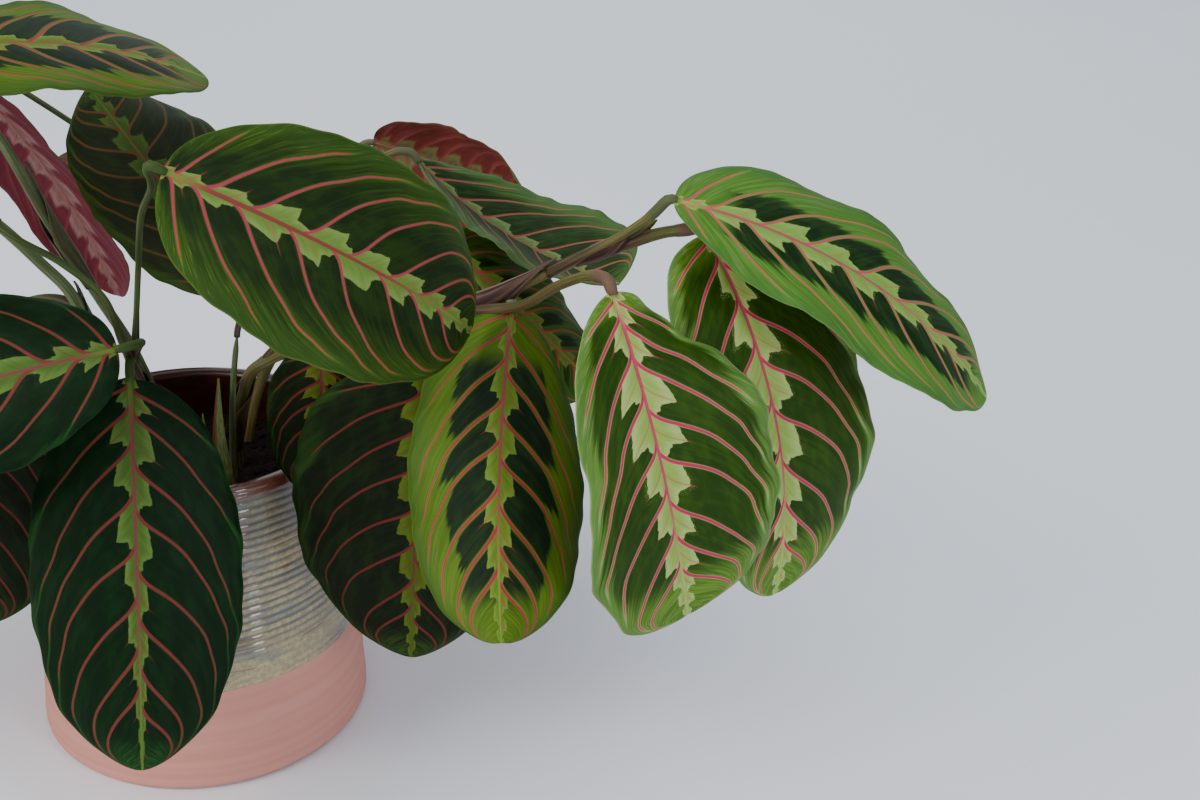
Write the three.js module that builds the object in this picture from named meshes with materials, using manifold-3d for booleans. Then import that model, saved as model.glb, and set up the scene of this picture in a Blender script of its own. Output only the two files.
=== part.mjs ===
// A potted prayer plant: a glazed terracotta pot filled with soil, six leafy shoots that rise from
// the soil and lean out over the rim, and a broad oval leaf at the end of each leaf stalk.
// Millimetres, +Z up. The origin is the centre of the pot's flat underside, and -Y is the front.

import * as THREE from "three";
import Module from "manifold-3d";
import { mergeVertices } from "three/addons/utils/BufferGeometryUtils.js";

const wasm = await Module();
wasm.setup();

// Driving dimensions

const GAP = 0.3;
const POT = {
  height: 110,
  baseRadius: 57.5,
  rimRadius: 50,
  footBevel: 3,
  wall: 5.5,
  floor: 6,
  glazeEdge: 38,
  glazeStep: 0.35,
  sides: 40,
};
const SOIL = { top: 92, rough: 1.1 };
const STEM = { footRadius: 2.1, endRadius: 1.5, sides: 6, spacing: 13 };
const STALK = {
  radius: 1.05,
  sheathRadius: 1.9,
  sheathLength: 24,
  pulvinusRadius: 1.4,
  pulvinusLength: 10,
  sides: 5,
  segments: 7,
  seat: 0.45,
};
const BLADE = { thickness: 0.7, baseHalfWidth: 1.6, tipHalfWidth: 0.5, waves: 2.7, waveReach: 2.5 };
const ROWS = [0, 0.025, 0.09, 0.19, 0.31, 0.44, 0.57, 0.7, 0.82, 0.91, 0.97, 1];
const COLUMNS = [-1, -0.72, -0.36, 0, 0.36, 0.72, 1];

// Colours of the plain materials

const COLORS = {
  pot: 0xa3947b,
  soil: 0x33271f,
  stem: 0x6f7a4a,
  leaf: 0x46702f,
  rolledLeaf: 0x9aa36c,
};

// Each leaf: the shoot that bears it and how far along (0 to 1), the place of its base, the aim of its
// midrib there (compass, upward and roll angles), its length and width, its bend (droop, sway, fold
// and curl, in degrees), its form (one half wider, egg shape, skew) and the height of its edge waves.

function leaf(shoot, share, base, aim, size, bend, form, wave) {
  return { shoot, share, base, aim, size, bend, form, wave };
}

const LEAVES = {
  front_low: leaf("front", 0.97, [3, -61, 155], [-76, -59, -3], [116, 63], [19, 2, 4, 18], [0, 0.06, -0.03], 1.2),
  front_left: leaf("front", 0.98, [4, -71, 169], [204, -6, -37], [114, 62], [26, 0, 4, 18], [0.1, 0, 0], 1.2),
  front_high: leaf("front", 1, [35, -115, 235], [23, -28, 68], [113, 60], [38, 2, -2, 10], [0, 0.1, -0.1], 1.4),
  left_top: leaf("front", 0.95, [-98, -14, 240], [200, 10, 12], [100, 56], [34, 0, -4, 12], [0, 0.05, 0], 1.2),
  in_pot: leaf("right", 0.4, [53, -33, 155], [-104, -86, -8], [54, 38], [5, -2, 0, 20], [0.05, 0, 0], 0.6),
  right_shaded: leaf("right", 0.62, [86, -45, 155], [-112, -83, -22], [106, 72], [16, 0, 2, 15], [0.15, 0, -0.1], 1.4),
  middle_folded: leaf("right", 0.5, [76, 19, 201], [6, -48, 10], [83, 58], [-59, 42, -23, 11], [0, 0.2, -0.4], 1),
  behind_sheath: leaf("right", 0.64, [88, -9, 184], [3, -42, 41], [73, 47], [12, -2, 8, 22], [0, 0, 0], 1.2),
  right_front: leaf("right", 0.76, [112, -42, 176], [-93, -42, -10], [101, 55], [-5, -9, 9, 24], [0, 0.1, -0.15], 1.2),
  right_bright: leaf("right", 0.78, [141, -74, 195], [-56, -49, 1], [101, 65], [51, -16, -6, 4], [-0.15, 0.3, 0.05], 2.2),
  right_hanging: leaf("right", 0.97, [167, -44, 203], [-42, -45, 15], [118, 66], [55, 8, -4, 8], [-0.1, 0.05, -0.15], 1.6),
  right_far: leaf("right", 0.96, [157, -49, 214], [-5, -8, 24], [118, 57], [48, 4, -1, 12], [-0.05, 0.1, 0.15], 1.6),
  upright: leaf("upright", 1, [25, -20, 168], [139, 34, -24], [108, 57], [23, 2, 9, 24], [0.15, 0.05, -0.1], 1.2),
  left_hanging: leaf("left", 0.42, [-52, -34, 150], [-98, -72, 6], [90, 54], [10, 0, 5, 20], [0, 0.05, 0], 1.2),
  top_left: leaf("left", 0.66, [-71, -51, 239], [30, 14, 16], [106, 59], [44, -2, -1, 11], [-0.1, 0, -0.05], 1.4),
  left_low: leaf("left", 0.82, [-104, -52, 190], [-160, -52, 0], [114, 62], [24, 0, 4, 18], [0, 0.05, 0], 1.4),
  left_out: leaf("left", 1, [-144, -46, 198], [205, -38, 10], [116, 62], [28, 0, 3, 18], [-0.05, 0.05, 0], 1.6),
  left_high: leaf("left", 0.98, [-130, -12, 220], [168, -8, -16], [112, 60], [36, 0, 2, 14], [0.05, 0.05, 0], 1.4),
  left_turned: leaf("back_left", 0.75, [-75, 33, 218], [54, -51, -7], [103, 55], [23, 0, 4, 17], [0, -0.05, -0.05], 1.2),
  left_back: leaf("back_left", 0.98, [-126, 24, 204], [128, -34, -8], [110, 60], [26, 0, 3, 18], [0, 0.05, 0], 1.4),
  back_left: leaf("back_left", 1, [-122, 70, 196], [122, -38, 0], [114, 62], [24, 0, 4, 18], [0.05, 0.05, 0], 1.4),
  back_low: leaf("back_left", 0.84, [-48, 78, 184], [98, -22, 4], [106, 60], [30, 0, 4, 18], [0, 0.05, 0], 1.2),
  back_turned: leaf("back_right", 0.62, [48, 99, 184], [-13, -9, -91], [96, 62], [64, 11, 17, 29], [-0.3, 0, 0.05], 1.6),
  back_mid: leaf("back_right", 0.8, [24, 116, 150], [92, -40, -6], [112, 62], [24, 0, 4, 18], [-0.05, 0.05, 0], 1.4),
  back_right: leaf("back_right", 1, [64, 112, 142], [60, -32, -8], [110, 60], [28, 0, 3, 18], [0, 0.05, 0], 1.4),
  back_out: leaf("back_right", 0.98, [84, 80, 138], [30, -34, -10], [100, 58], [26, 0, 3, 18], [0.05, 0.05, 0], 1.2),
};

// Stalks whose course shows: the points that the stalk passes, and the length of the short straight
// piece (the hook) with which it meets the leaf. The other stalks follow a plain arc.

const PLAIN_HOOK = 15;
const STALK_ROUTES = {
  front_high: { points: [[10, -65, 192], [21, -91, 216], [29, -106, 228]], hook: 4 },
  middle_folded: { points: [[60, -24, 176], [58, -4, 190], [65, 15, 203]], hook: 5 },
  left_top: { points: [[0, -56, 165], [-4, -56, 178], [-15, -56, 188], [-30, -55, 196], [-70, -34, 222]], hook: 8 },
  right_bright: { points: [[114, -45, 178], [126, -55, 189], [136, -67, 197]], hook: 4 },
  right_hanging: { points: [[154, -43, 202], [162, -44, 204]], hook: 3 },
  right_far: { points: [[144, -44, 204], [151, -47, 210]], hook: 4 },
};

// Each shoot: the points its stem passes from its foot in the soil to its end, and the sheaths that
// swell it, each as where it begins and ends (0 to 1 along the stem) and its greatest radius.

const SHOOTS = {
  front: { route: [[3, -18, 70], [4, -21, 100], [3, -36, 128], [0, -48, 152]], sheaths: [[0.86, 1, 2.9]] },
  right: {
    route: [
      [14, 10, 70],
      [14, 7, 98],
      [21, -7, 126],
      [33, -24, 146],
      [66, -33, 163],
      [102, -38, 176],
      [124, -40, 188],
      [144, -42, 199],
      [153, -40, 205],
    ],
    sheaths: [[0.13, 0.36, 2.9], [0.52, 0.66, 2.7], [0.69, 0.87, 3.5], [0.88, 0.99, 2.6]],
  },
  upright: { route: [[15, -4, 70], [16, -6, 104], [20, -15, 132], [24, -21, 153]], sheaths: [] },
  left: {
    route: [
      [-20, -6, 70],
      [-20, -10, 100],
      [-18, -22, 132],
      [-21, -32, 165],
      [-30, -34, 179],
      [-48, -35, 196],
      [-76, -36, 208],
      [-104, -34, 206],
      [-124, -32, 200],
    ],
    sheaths: [[0.34, 0.48, 2.8], [0.6, 0.76, 3.2], [0.8, 0.94, 2.8]],
  },
  back_left: {
    route: [
      [-13, 20, 70],
      [-17, 23, 100],
      [-25, 24, 125],
      [-34, 20, 147],
      [-46, 14, 176],
      [-57, 11, 203],
      [-74, 18, 220],
      [-92, 36, 222],
      [-104, 50, 214],
    ],
    sheaths: [[0.4, 0.62, 2.9], [0.7, 0.84, 3], [0.86, 0.98, 2.6]],
  },
  back_right: {
    route: [[12, 22, 70], [14, 25, 98], [20, 38, 119], [35, 68, 135], [54, 90, 140]],
    sheaths: [[0.5, 0.7, 2.9], [0.78, 0.96, 2.8]],
  },
};

// Young leaves still rolled into a spear: the points each passes from the soil, and its radius.

const ROLLED_LEAVES = {
  rolled_leaf_tall: { route: [[17, -16, 74], [16, -17, 96], [15, -17, 116], [16, -17, 136]], radius: 2.9 },
  rolled_leaf_short: { route: [[10, -13, 74], [10, -15, 94], [10, -16, 108], [10, -17, 123]], radius: 2.3 },
};

// Small helpers

const toRadians = THREE.MathUtils.degToRad;

function vector(triple) {
  return new THREE.Vector3(...triple);
}

function finish(color, roughness) {
  return new THREE.MeshStandardMaterial({ color, roughness, metalness: 0 });
}

function meshGeometry(positions, triangles) {
  const geometry = new THREE.BufferGeometry();
  geometry.setAttribute("position", new THREE.Float32BufferAttribute(positions, 3));
  geometry.setIndex(triangles);
  geometry.computeVertexNormals();
  return geometry;
}

function toSolid(geometry) {
  const plain = geometry.clone();
  plain.deleteAttribute("normal");
  plain.deleteAttribute("uv");
  const merged = mergeVertices(plain, 1e-4);
  return new wasm.Manifold(
    new wasm.Mesh({
      numProp: 3,
      vertProperties: new Float32Array(merged.attributes.position.array),
      triVerts: new Uint32Array(merged.index.array),
    }),
  );
}

function fromSolid(solid) {
  const mesh = solid.getMesh();
  return meshGeometry(Array.from(mesh.vertProperties), Array.from(mesh.triVerts));
}

// A closed round body along a curve; radiusAt gives its radius from the share of the length.

function sweptBody(curve, radiusAt, segments, sides) {
  const frames = curve.computeFrenetFrames(segments, false);
  const positions = [];
  const triangles = [];
  for (let ring = 0; ring <= segments; ring += 1) {
    const share = ring / segments;
    const centre = curve.getPointAt(share);
    const radius = radiusAt(share);
    for (let side = 0; side < sides; side += 1) {
      const angle = (2 * Math.PI * side) / sides;
      const point = centre.clone();
      point.addScaledVector(frames.normals[ring], radius * Math.cos(angle));
      point.addScaledVector(frames.binormals[ring], radius * Math.sin(angle));
      positions.push(point.x, point.y, point.z);
    }
  }
  for (let ring = 0; ring < segments; ring += 1) {
    for (let side = 0; side < sides; side += 1) {
      const near = ring * sides + side;
      const nearNext = ring * sides + ((side + 1) % sides);
      const far = near + sides;
      const farNext = nearNext + sides;
      triangles.push(near, nearNext, far, nearNext, farNext, far);
    }
  }
  const end = segments * sides;
  for (let side = 1; side < sides - 1; side += 1) {
    triangles.push(0, side + 1, side);
    triangles.push(end, end + side, end + side + 1);
  }
  return meshGeometry(positions, triangles);
}

// Pot and soil

const INNER_FOOT = { radius: POT.baseRadius - POT.wall - 0.8, height: POT.floor + 6 };
const INNER_MOUTH = { radius: POT.rimRadius - POT.wall, height: POT.height - 4 };

function outerRadius(height) {
  const share = (height - POT.footBevel) / (POT.height - POT.footBevel);
  return THREE.MathUtils.lerp(POT.baseRadius, POT.rimRadius, share);
}

function innerRadius(height) {
  const share = (height - INNER_FOOT.height) / (INNER_MOUTH.height - INNER_FOOT.height);
  return THREE.MathUtils.lerp(INNER_FOOT.radius, INNER_MOUTH.radius, share);
}

function lathe(profile) {
  const points = profile.map(([radius, height]) => new THREE.Vector2(radius, height));
  return new THREE.LatheGeometry(points, POT.sides).rotateX(Math.PI / 2);
}

function potGeometry() {
  const glazed = (height) => outerRadius(height) + POT.glazeStep;
  return lathe([
    [0, 0],
    [POT.baseRadius - POT.footBevel, 0],
    [POT.baseRadius - 0.3 * POT.footBevel, 0.3 * POT.footBevel],
    [POT.baseRadius, POT.footBevel],
    [outerRadius(POT.glazeEdge), POT.glazeEdge],
    [glazed(POT.glazeEdge + 1), POT.glazeEdge + 1],
    [glazed(POT.height - 3), POT.height - 3],
    [glazed(POT.height) - 0.5, POT.height - 1],
    [POT.rimRadius - 1.8, POT.height],
    [POT.rimRadius - POT.wall + 1.8, POT.height],
    [POT.rimRadius - POT.wall + 0.6, POT.height - 1],
    [INNER_MOUTH.radius, INNER_MOUTH.height],
    [INNER_FOOT.radius, INNER_FOOT.height],
    [INNER_FOOT.radius - 2.2, POT.floor + 1.4],
    [INNER_FOOT.radius - 5, POT.floor],
    [0, POT.floor],
  ]);
}

// The uneven surface of the soil, as a height above or below its level.

function soilBump(x, y) {
  const broad = Math.sin(0.21 * x + 1.3) * Math.cos(0.17 * y - 0.4);
  const fine = Math.sin(0.43 * x - 0.6 * y + 2.1);
  return SOIL.rough * (0.6 * broad + 0.4 * fine);
}

function soilGeometry() {
  const wallRadius = (height) => innerRadius(height) - GAP;
  const surface = [34, 23, 11, 0].map((radius) => [radius, SOIL.top]);
  const geometry = lathe([
    [0, POT.floor + GAP],
    [INNER_FOOT.radius - 5 - GAP, POT.floor + GAP],
    [INNER_FOOT.radius - 2.2 - 1.4 * GAP, POT.floor + 1.4 + GAP],
    [wallRadius(INNER_FOOT.height), INNER_FOOT.height],
    [wallRadius(SOIL.top - 2), SOIL.top - 2],
    ...surface,
  ]);
  const place = geometry.attributes.position;
  for (let index = 0; index < place.count; index += 1) {
    if (place.getZ(index) > SOIL.top - 1) {
      place.setZ(index, SOIL.top + soilBump(place.getX(index), place.getY(index)));
    }
  }
  return geometry;
}

// A hole that clears a stem or a rolled leaf by the gap, from below its foot to above the soil.

function holeFor(route, radius) {
  const curve = routeCurve(route);
  const start = curve.getPointAt(0).addScaledVector(curve.getTangentAt(0), -GAP);
  const points = [start];
  for (let share = 0.02; points.at(-1).z < SOIL.top + 6; share += 0.03) {
    points.push(curve.getPointAt(share));
  }
  const sides = 10;
  const holeRadius = (radius + 1.5 * GAP) / Math.cos(Math.PI / sides);
  return sweptBody(new THREE.CatmullRomCurve3(points), () => holeRadius, 8, sides);
}

function soilWithHoles() {
  let solid = toSolid(soilGeometry());
  for (const shoot of Object.values(SHOOTS)) {
    solid = solid.subtract(toSolid(holeFor(shoot.route, STEM.footRadius)));
  }
  for (const rolled of Object.values(ROLLED_LEAVES)) {
    solid = solid.subtract(toSolid(holeFor(rolled.route, rolled.radius)));
  }
  return fromSolid(solid);
}

// Leaves

// The base's own directions: along the midrib, out to the right-hand side, and up from the top face.

function leafAxes(spec) {
  const [compass, upward, roll] = spec.aim.map(toRadians);
  const along = vector([
    Math.cos(compass) * Math.cos(upward),
    Math.sin(compass) * Math.cos(upward),
    Math.sin(upward),
  ]);
  const level = vector([Math.sin(compass), -Math.cos(compass), 0]);
  const above = level.clone().cross(along);
  const side = level.clone().multiplyScalar(Math.cos(roll)).addScaledVector(above, -Math.sin(roll));
  const up = above.clone().multiplyScalar(Math.cos(roll)).addScaledVector(level, Math.sin(roll));
  return { side, along, up };
}

// Half the leaf's width, as a share of its greatest, at a share u of its length.

function halfWidth(u, egg) {
  const bulge = 2 * u ** (0.92 + egg) - 1;
  const oval = Math.max(0, 1 - bulge * bulge) ** 0.46;
  const pinch = THREE.MathUtils.clamp((u - 0.84) / 0.16, 0, 1);
  return oval * (1 - 0.25 * pinch * pinch);
}

// The midrib in the leaf's own frame (x to the side, y along, z up): its point and its directions.

function midribAt(spec, u) {
  const [length] = spec.size;
  const [droop, sway] = spec.bend.map(toRadians);
  const directions = (share) => {
    const down = droop * share;
    const turn = sway * share;
    const ahead = vector([0, Math.cos(down), -Math.sin(down)]);
    const up = vector([0, Math.sin(down), Math.cos(down)]);
    const right = vector([1, 0, 0]);
    const along = ahead.clone().multiplyScalar(Math.cos(turn)).addScaledVector(right, Math.sin(turn));
    const side = right.clone().multiplyScalar(Math.cos(turn)).addScaledVector(ahead, -Math.sin(turn));
    return { along, side, up };
  };
  const steps = 12;
  const point = vector([0, 0, 0]);
  for (let step = 0; step < steps; step += 1) {
    point.addScaledVector(directions((u * (step + 0.5)) / steps).along, (u * length) / steps);
  }
  return { point, ...directions(u) };
}

function bladePoint(spec, u, v, phase) {
  const [, width] = spec.size;
  const fold = toRadians(spec.bend[2]);
  const curl = toRadians(spec.bend[3]);
  const [wider, egg, skew] = spec.form;
  const { point, side, up } = midribAt(spec, u);
  const sign = Math.sign(v);
  const reach = Math.abs(v);
  const shape = halfWidth(u, egg + sign * skew) * (width / 2) * (1 + sign * wider);
  const least = THREE.MathUtils.lerp(BLADE.baseHalfWidth, BLADE.tipHalfWidth, u);
  const half = Math.max(shape, least);
  const angle = fold + (curl * reach) / 2;
  const ripple = Math.sin(2 * Math.PI * BLADE.waves * u + phase + sign);
  const wave = spec.wave * ripple * reach ** BLADE.waveReach * halfWidth(u, egg);
  point.addScaledVector(side, sign * half * reach * Math.cos(angle));
  point.addScaledVector(up, wave - half * reach * Math.sin(angle));
  return point;
}

function bladeGeometry(spec, phase) {
  const rows = ROWS.length;
  const columns = COLUMNS.length;
  const grid = ROWS.map((u) => COLUMNS.map((v) => bladePoint(spec, u, v, phase)));
  const at = (row, column) => {
    const safeRow = THREE.MathUtils.clamp(row, 0, rows - 1);
    const safeColumn = THREE.MathUtils.clamp(column, 0, columns - 1);
    return grid[safeRow][safeColumn];
  };
  const faces = [[], []];
  for (let row = 0; row < rows; row += 1) {
    for (let column = 0; column < columns; column += 1) {
      const across = at(row, column + 1).clone().sub(at(row, column - 1));
      const along = at(row + 1, column).clone().sub(at(row - 1, column));
      const normal = across.cross(along).normalize();
      [0.5, -0.5].forEach((half, face) => {
        const point = at(row, column).clone().addScaledVector(normal, half * BLADE.thickness);
        faces[face].push(point.x, point.y, point.z);
      });
    }
  }
  const triangles = [];
  const under = rows * columns;
  const addBoth = (a, b, c) => {
    triangles.push(a, b, c);
    triangles.push(under + a, under + c, under + b);
  };
  for (let row = 0; row < rows - 1; row += 1) {
    for (let column = 0; column < columns - 1; column += 1) {
      const a = row * columns + column;
      const b = a + 1;
      const c = b + columns;
      const d = a + columns;
      if (column < (columns - 1) / 2) {
        addBoth(a, b, d);
        addBoth(b, c, d);
      } else {
        addBoth(a, b, c);
        addBoth(a, c, d);
      }
    }
  }
  const rim = [];
  for (let column = 0; column < columns; column += 1) {
    rim.push(column);
  }
  for (let row = 1; row < rows; row += 1) {
    rim.push(row * columns + columns - 1);
  }
  for (let column = columns - 2; column >= 0; column -= 1) {
    rim.push((rows - 1) * columns + column);
  }
  for (let row = rows - 2; row > 0; row -= 1) {
    rim.push(row * columns);
  }
  rim.forEach((near, index) => {
    const far = rim[(index + 1) % rim.length];
    triangles.push(under + near, under + far, far);
    triangles.push(under + near, far, near);
  });
  return meshGeometry([...faces[0], ...faces[1]], triangles);
}

// Shoots

function routeCurve(route) {
  return new THREE.CatmullRomCurve3(route.map(vector), false, "catmullrom", 0.5);
}

// The radius of a stalk: a sheath where it clasps the stem, and a thicker joint below the leaf.

function stalkRadius(distance, length) {
  const sheathShare = THREE.MathUtils.clamp(1 - distance / STALK.sheathLength, 0, 1);
  const jointShare = THREE.MathUtils.smoothstep(distance, length - STALK.pulvinusLength - 2, length - STALK.pulvinusLength);
  const sheath = (STALK.sheathRadius - STALK.radius) * sheathShare;
  const joint = (STALK.pulvinusRadius - STALK.radius) * jointShare;
  return STALK.radius + Math.max(sheath, joint);
}

function stalkGeometry(stem, name, spec) {
  const { along } = leafAxes(spec);
  const start = stem.getPointAt(spec.share);
  const end = vector(spec.base).addScaledVector(along, -STALK.seat);
  const route = STALK_ROUTES[name];
  let curve;
  if (route) {
    const hook = end.clone().addScaledVector(along, -route.hook);
    curve = new THREE.CatmullRomCurve3([start, ...route.points.map(vector), hook, end]);
  } else {
    const distance = start.distanceTo(end);
    const reach = Math.min(0.42 * distance, 30);
    const leave = start.clone().addScaledVector(stem.getTangentAt(spec.share), 0.7 * reach);
    leave.z += 0.5 * reach;
    const arrive = end.clone().addScaledVector(along, -Math.min(PLAIN_HOOK, 0.6 * distance));
    curve = new THREE.CubicBezierCurve3(start, leave, arrive, end);
  }
  const length = curve.getLength();
  const segments = Math.max(STALK.segments, Math.ceil(length / 8));
  return sweptBody(curve, (share) => stalkRadius(share * length, length), segments, STALK.sides);
}

function stemRadius(share, sheaths) {
  let radius = THREE.MathUtils.lerp(STEM.footRadius, STEM.endRadius, share);
  for (const [from, to, greatest] of sheaths) {
    const along = THREE.MathUtils.clamp((share - from) / (to - from), 0, 1);
    const swell = Math.sin(Math.PI * along ** 0.6) ** 0.7;
    radius += Math.max(0, greatest - radius) * swell;
  }
  return radius;
}

function shootGeometry(name, shoot) {
  const stem = routeCurve(shoot.route);
  const segments = Math.ceil(stem.getLength() / STEM.spacing) + 2;
  let solid = toSolid(sweptBody(stem, (share) => stemRadius(share, shoot.sheaths), segments, STEM.sides));
  for (const [leafName, spec] of Object.entries(LEAVES)) {
    if (spec.shoot === name) {
      solid = solid.add(toSolid(stalkGeometry(stem, leafName, spec)));
    }
  }
  return fromSolid(solid);
}

function rolledGeometry({ route, radius }) {
  const taper = (share) => radius * Math.min(1, 0.14 + 1.25 * (1 - share));
  return sweptBody(routeCurve(route), taper, 9, 7);
}

// The whole plant

const plant = new THREE.Group();

function place(name, geometry, material) {
  const mesh = new THREE.Mesh(geometry, material);
  mesh.name = name;
  plant.add(mesh);
  return mesh;
}

place("pot", potGeometry(), finish(COLORS.pot, 0.35));
place("soil", soilWithHoles(), finish(COLORS.soil, 0.95));

for (const [name, shoot] of Object.entries(SHOOTS)) {
  place(`shoot_${name}`, shootGeometry(name, shoot), finish(COLORS.stem, 0.6));
}

Object.entries(LEAVES).forEach(([name, spec], index) => {
  const mesh = place(`leaf_${name}`, bladeGeometry(spec, 1.7 * index), finish(COLORS.leaf, 0.55));
  const { side, along, up } = leafAxes(spec);
  mesh.quaternion.setFromRotationMatrix(new THREE.Matrix4().makeBasis(side, along, up));
  mesh.position.set(...spec.base);
});

for (const [name, rolled] of Object.entries(ROLLED_LEAVES)) {
  place(name, rolledGeometry(rolled), finish(COLORS.rolledLeaf, 0.6));
}

export default plant;
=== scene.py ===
"""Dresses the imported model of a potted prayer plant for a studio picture.

Lengths are millimetres in the constants below and metres in Blender. The origin is the centre of
the pot's flat underside, +Z is up and -Y is the front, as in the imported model.
"""

import logging
import math
from dataclasses import dataclass, field
from enum import Enum

import bpy
import numpy as np
from mathutils import Matrix, Vector


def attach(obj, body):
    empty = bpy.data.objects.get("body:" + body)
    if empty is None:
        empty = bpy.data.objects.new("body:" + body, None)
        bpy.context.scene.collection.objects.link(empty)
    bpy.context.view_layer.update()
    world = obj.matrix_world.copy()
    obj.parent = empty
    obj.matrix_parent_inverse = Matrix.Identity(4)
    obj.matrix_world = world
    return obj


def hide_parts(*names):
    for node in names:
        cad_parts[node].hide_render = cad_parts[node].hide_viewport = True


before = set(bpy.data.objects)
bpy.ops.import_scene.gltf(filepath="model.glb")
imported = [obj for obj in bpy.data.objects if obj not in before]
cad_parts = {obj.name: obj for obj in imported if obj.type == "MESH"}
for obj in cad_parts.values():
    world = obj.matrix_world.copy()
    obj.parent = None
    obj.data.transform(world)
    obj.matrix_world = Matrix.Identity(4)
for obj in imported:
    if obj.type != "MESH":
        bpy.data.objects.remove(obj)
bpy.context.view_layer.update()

Pair = tuple[float, float]
Triple = tuple[float, float, float]
Route = list[Triple]
Array = np.ndarray
Corners = list[tuple[Array, Array]]
Fields = dict[str, Array]
Socket = bpy.types.NodeSocket
Material = bpy.types.Material
Piece = bpy.types.Object

MM = 0.001
LOG = logging.getLogger("prayer_plant")


# Sizes and colours of the leaves


class Look(Enum):
    """The colouring of a leaf's top face."""

    DEEP = "deep"
    # The next two are darker copies of the colouring, with painted shade, for leaves that lie in shade.
    SHADED = "shaded"
    DUSKY = "dusky"
    RICH = "rich"
    MUTED = "muted"
    BLOTCHED = "blotched"
    OPEN = "open"
    BRIGHT = "bright"
    SPOTTED = "spotted"


class Underside(Enum):
    """The colouring of a leaf's underside."""

    CRIMSON = "crimson"
    RUSSET = "russet"


# How pink and how pale the thick joint below a blade usually is.
PLAIN_JOINT: Pair = (0.35, 0.25)


@dataclass(frozen=True)
class LeafSpec:
    """One leaf: its place and shape, as in the part's source, and its colouring.

    The angles are degrees. share is where its stalk leaves the stem. aim holds the compass, upward
    and roll angles of the midrib at the base, size is length and width, bend holds droop, sway, fold
    and curl, form says how the two halves differ, and wave is the height of the edge waves.
    """

    shoot: str
    share: float
    base: Triple
    aim: Triple
    size: Pair
    bend: tuple[float, float, float, float]
    form: Triple
    wave: float
    look: Look = Look.RICH
    underside: Underside = Underside.RUSSET
    joint: Pair = PLAIN_JOINT


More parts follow.
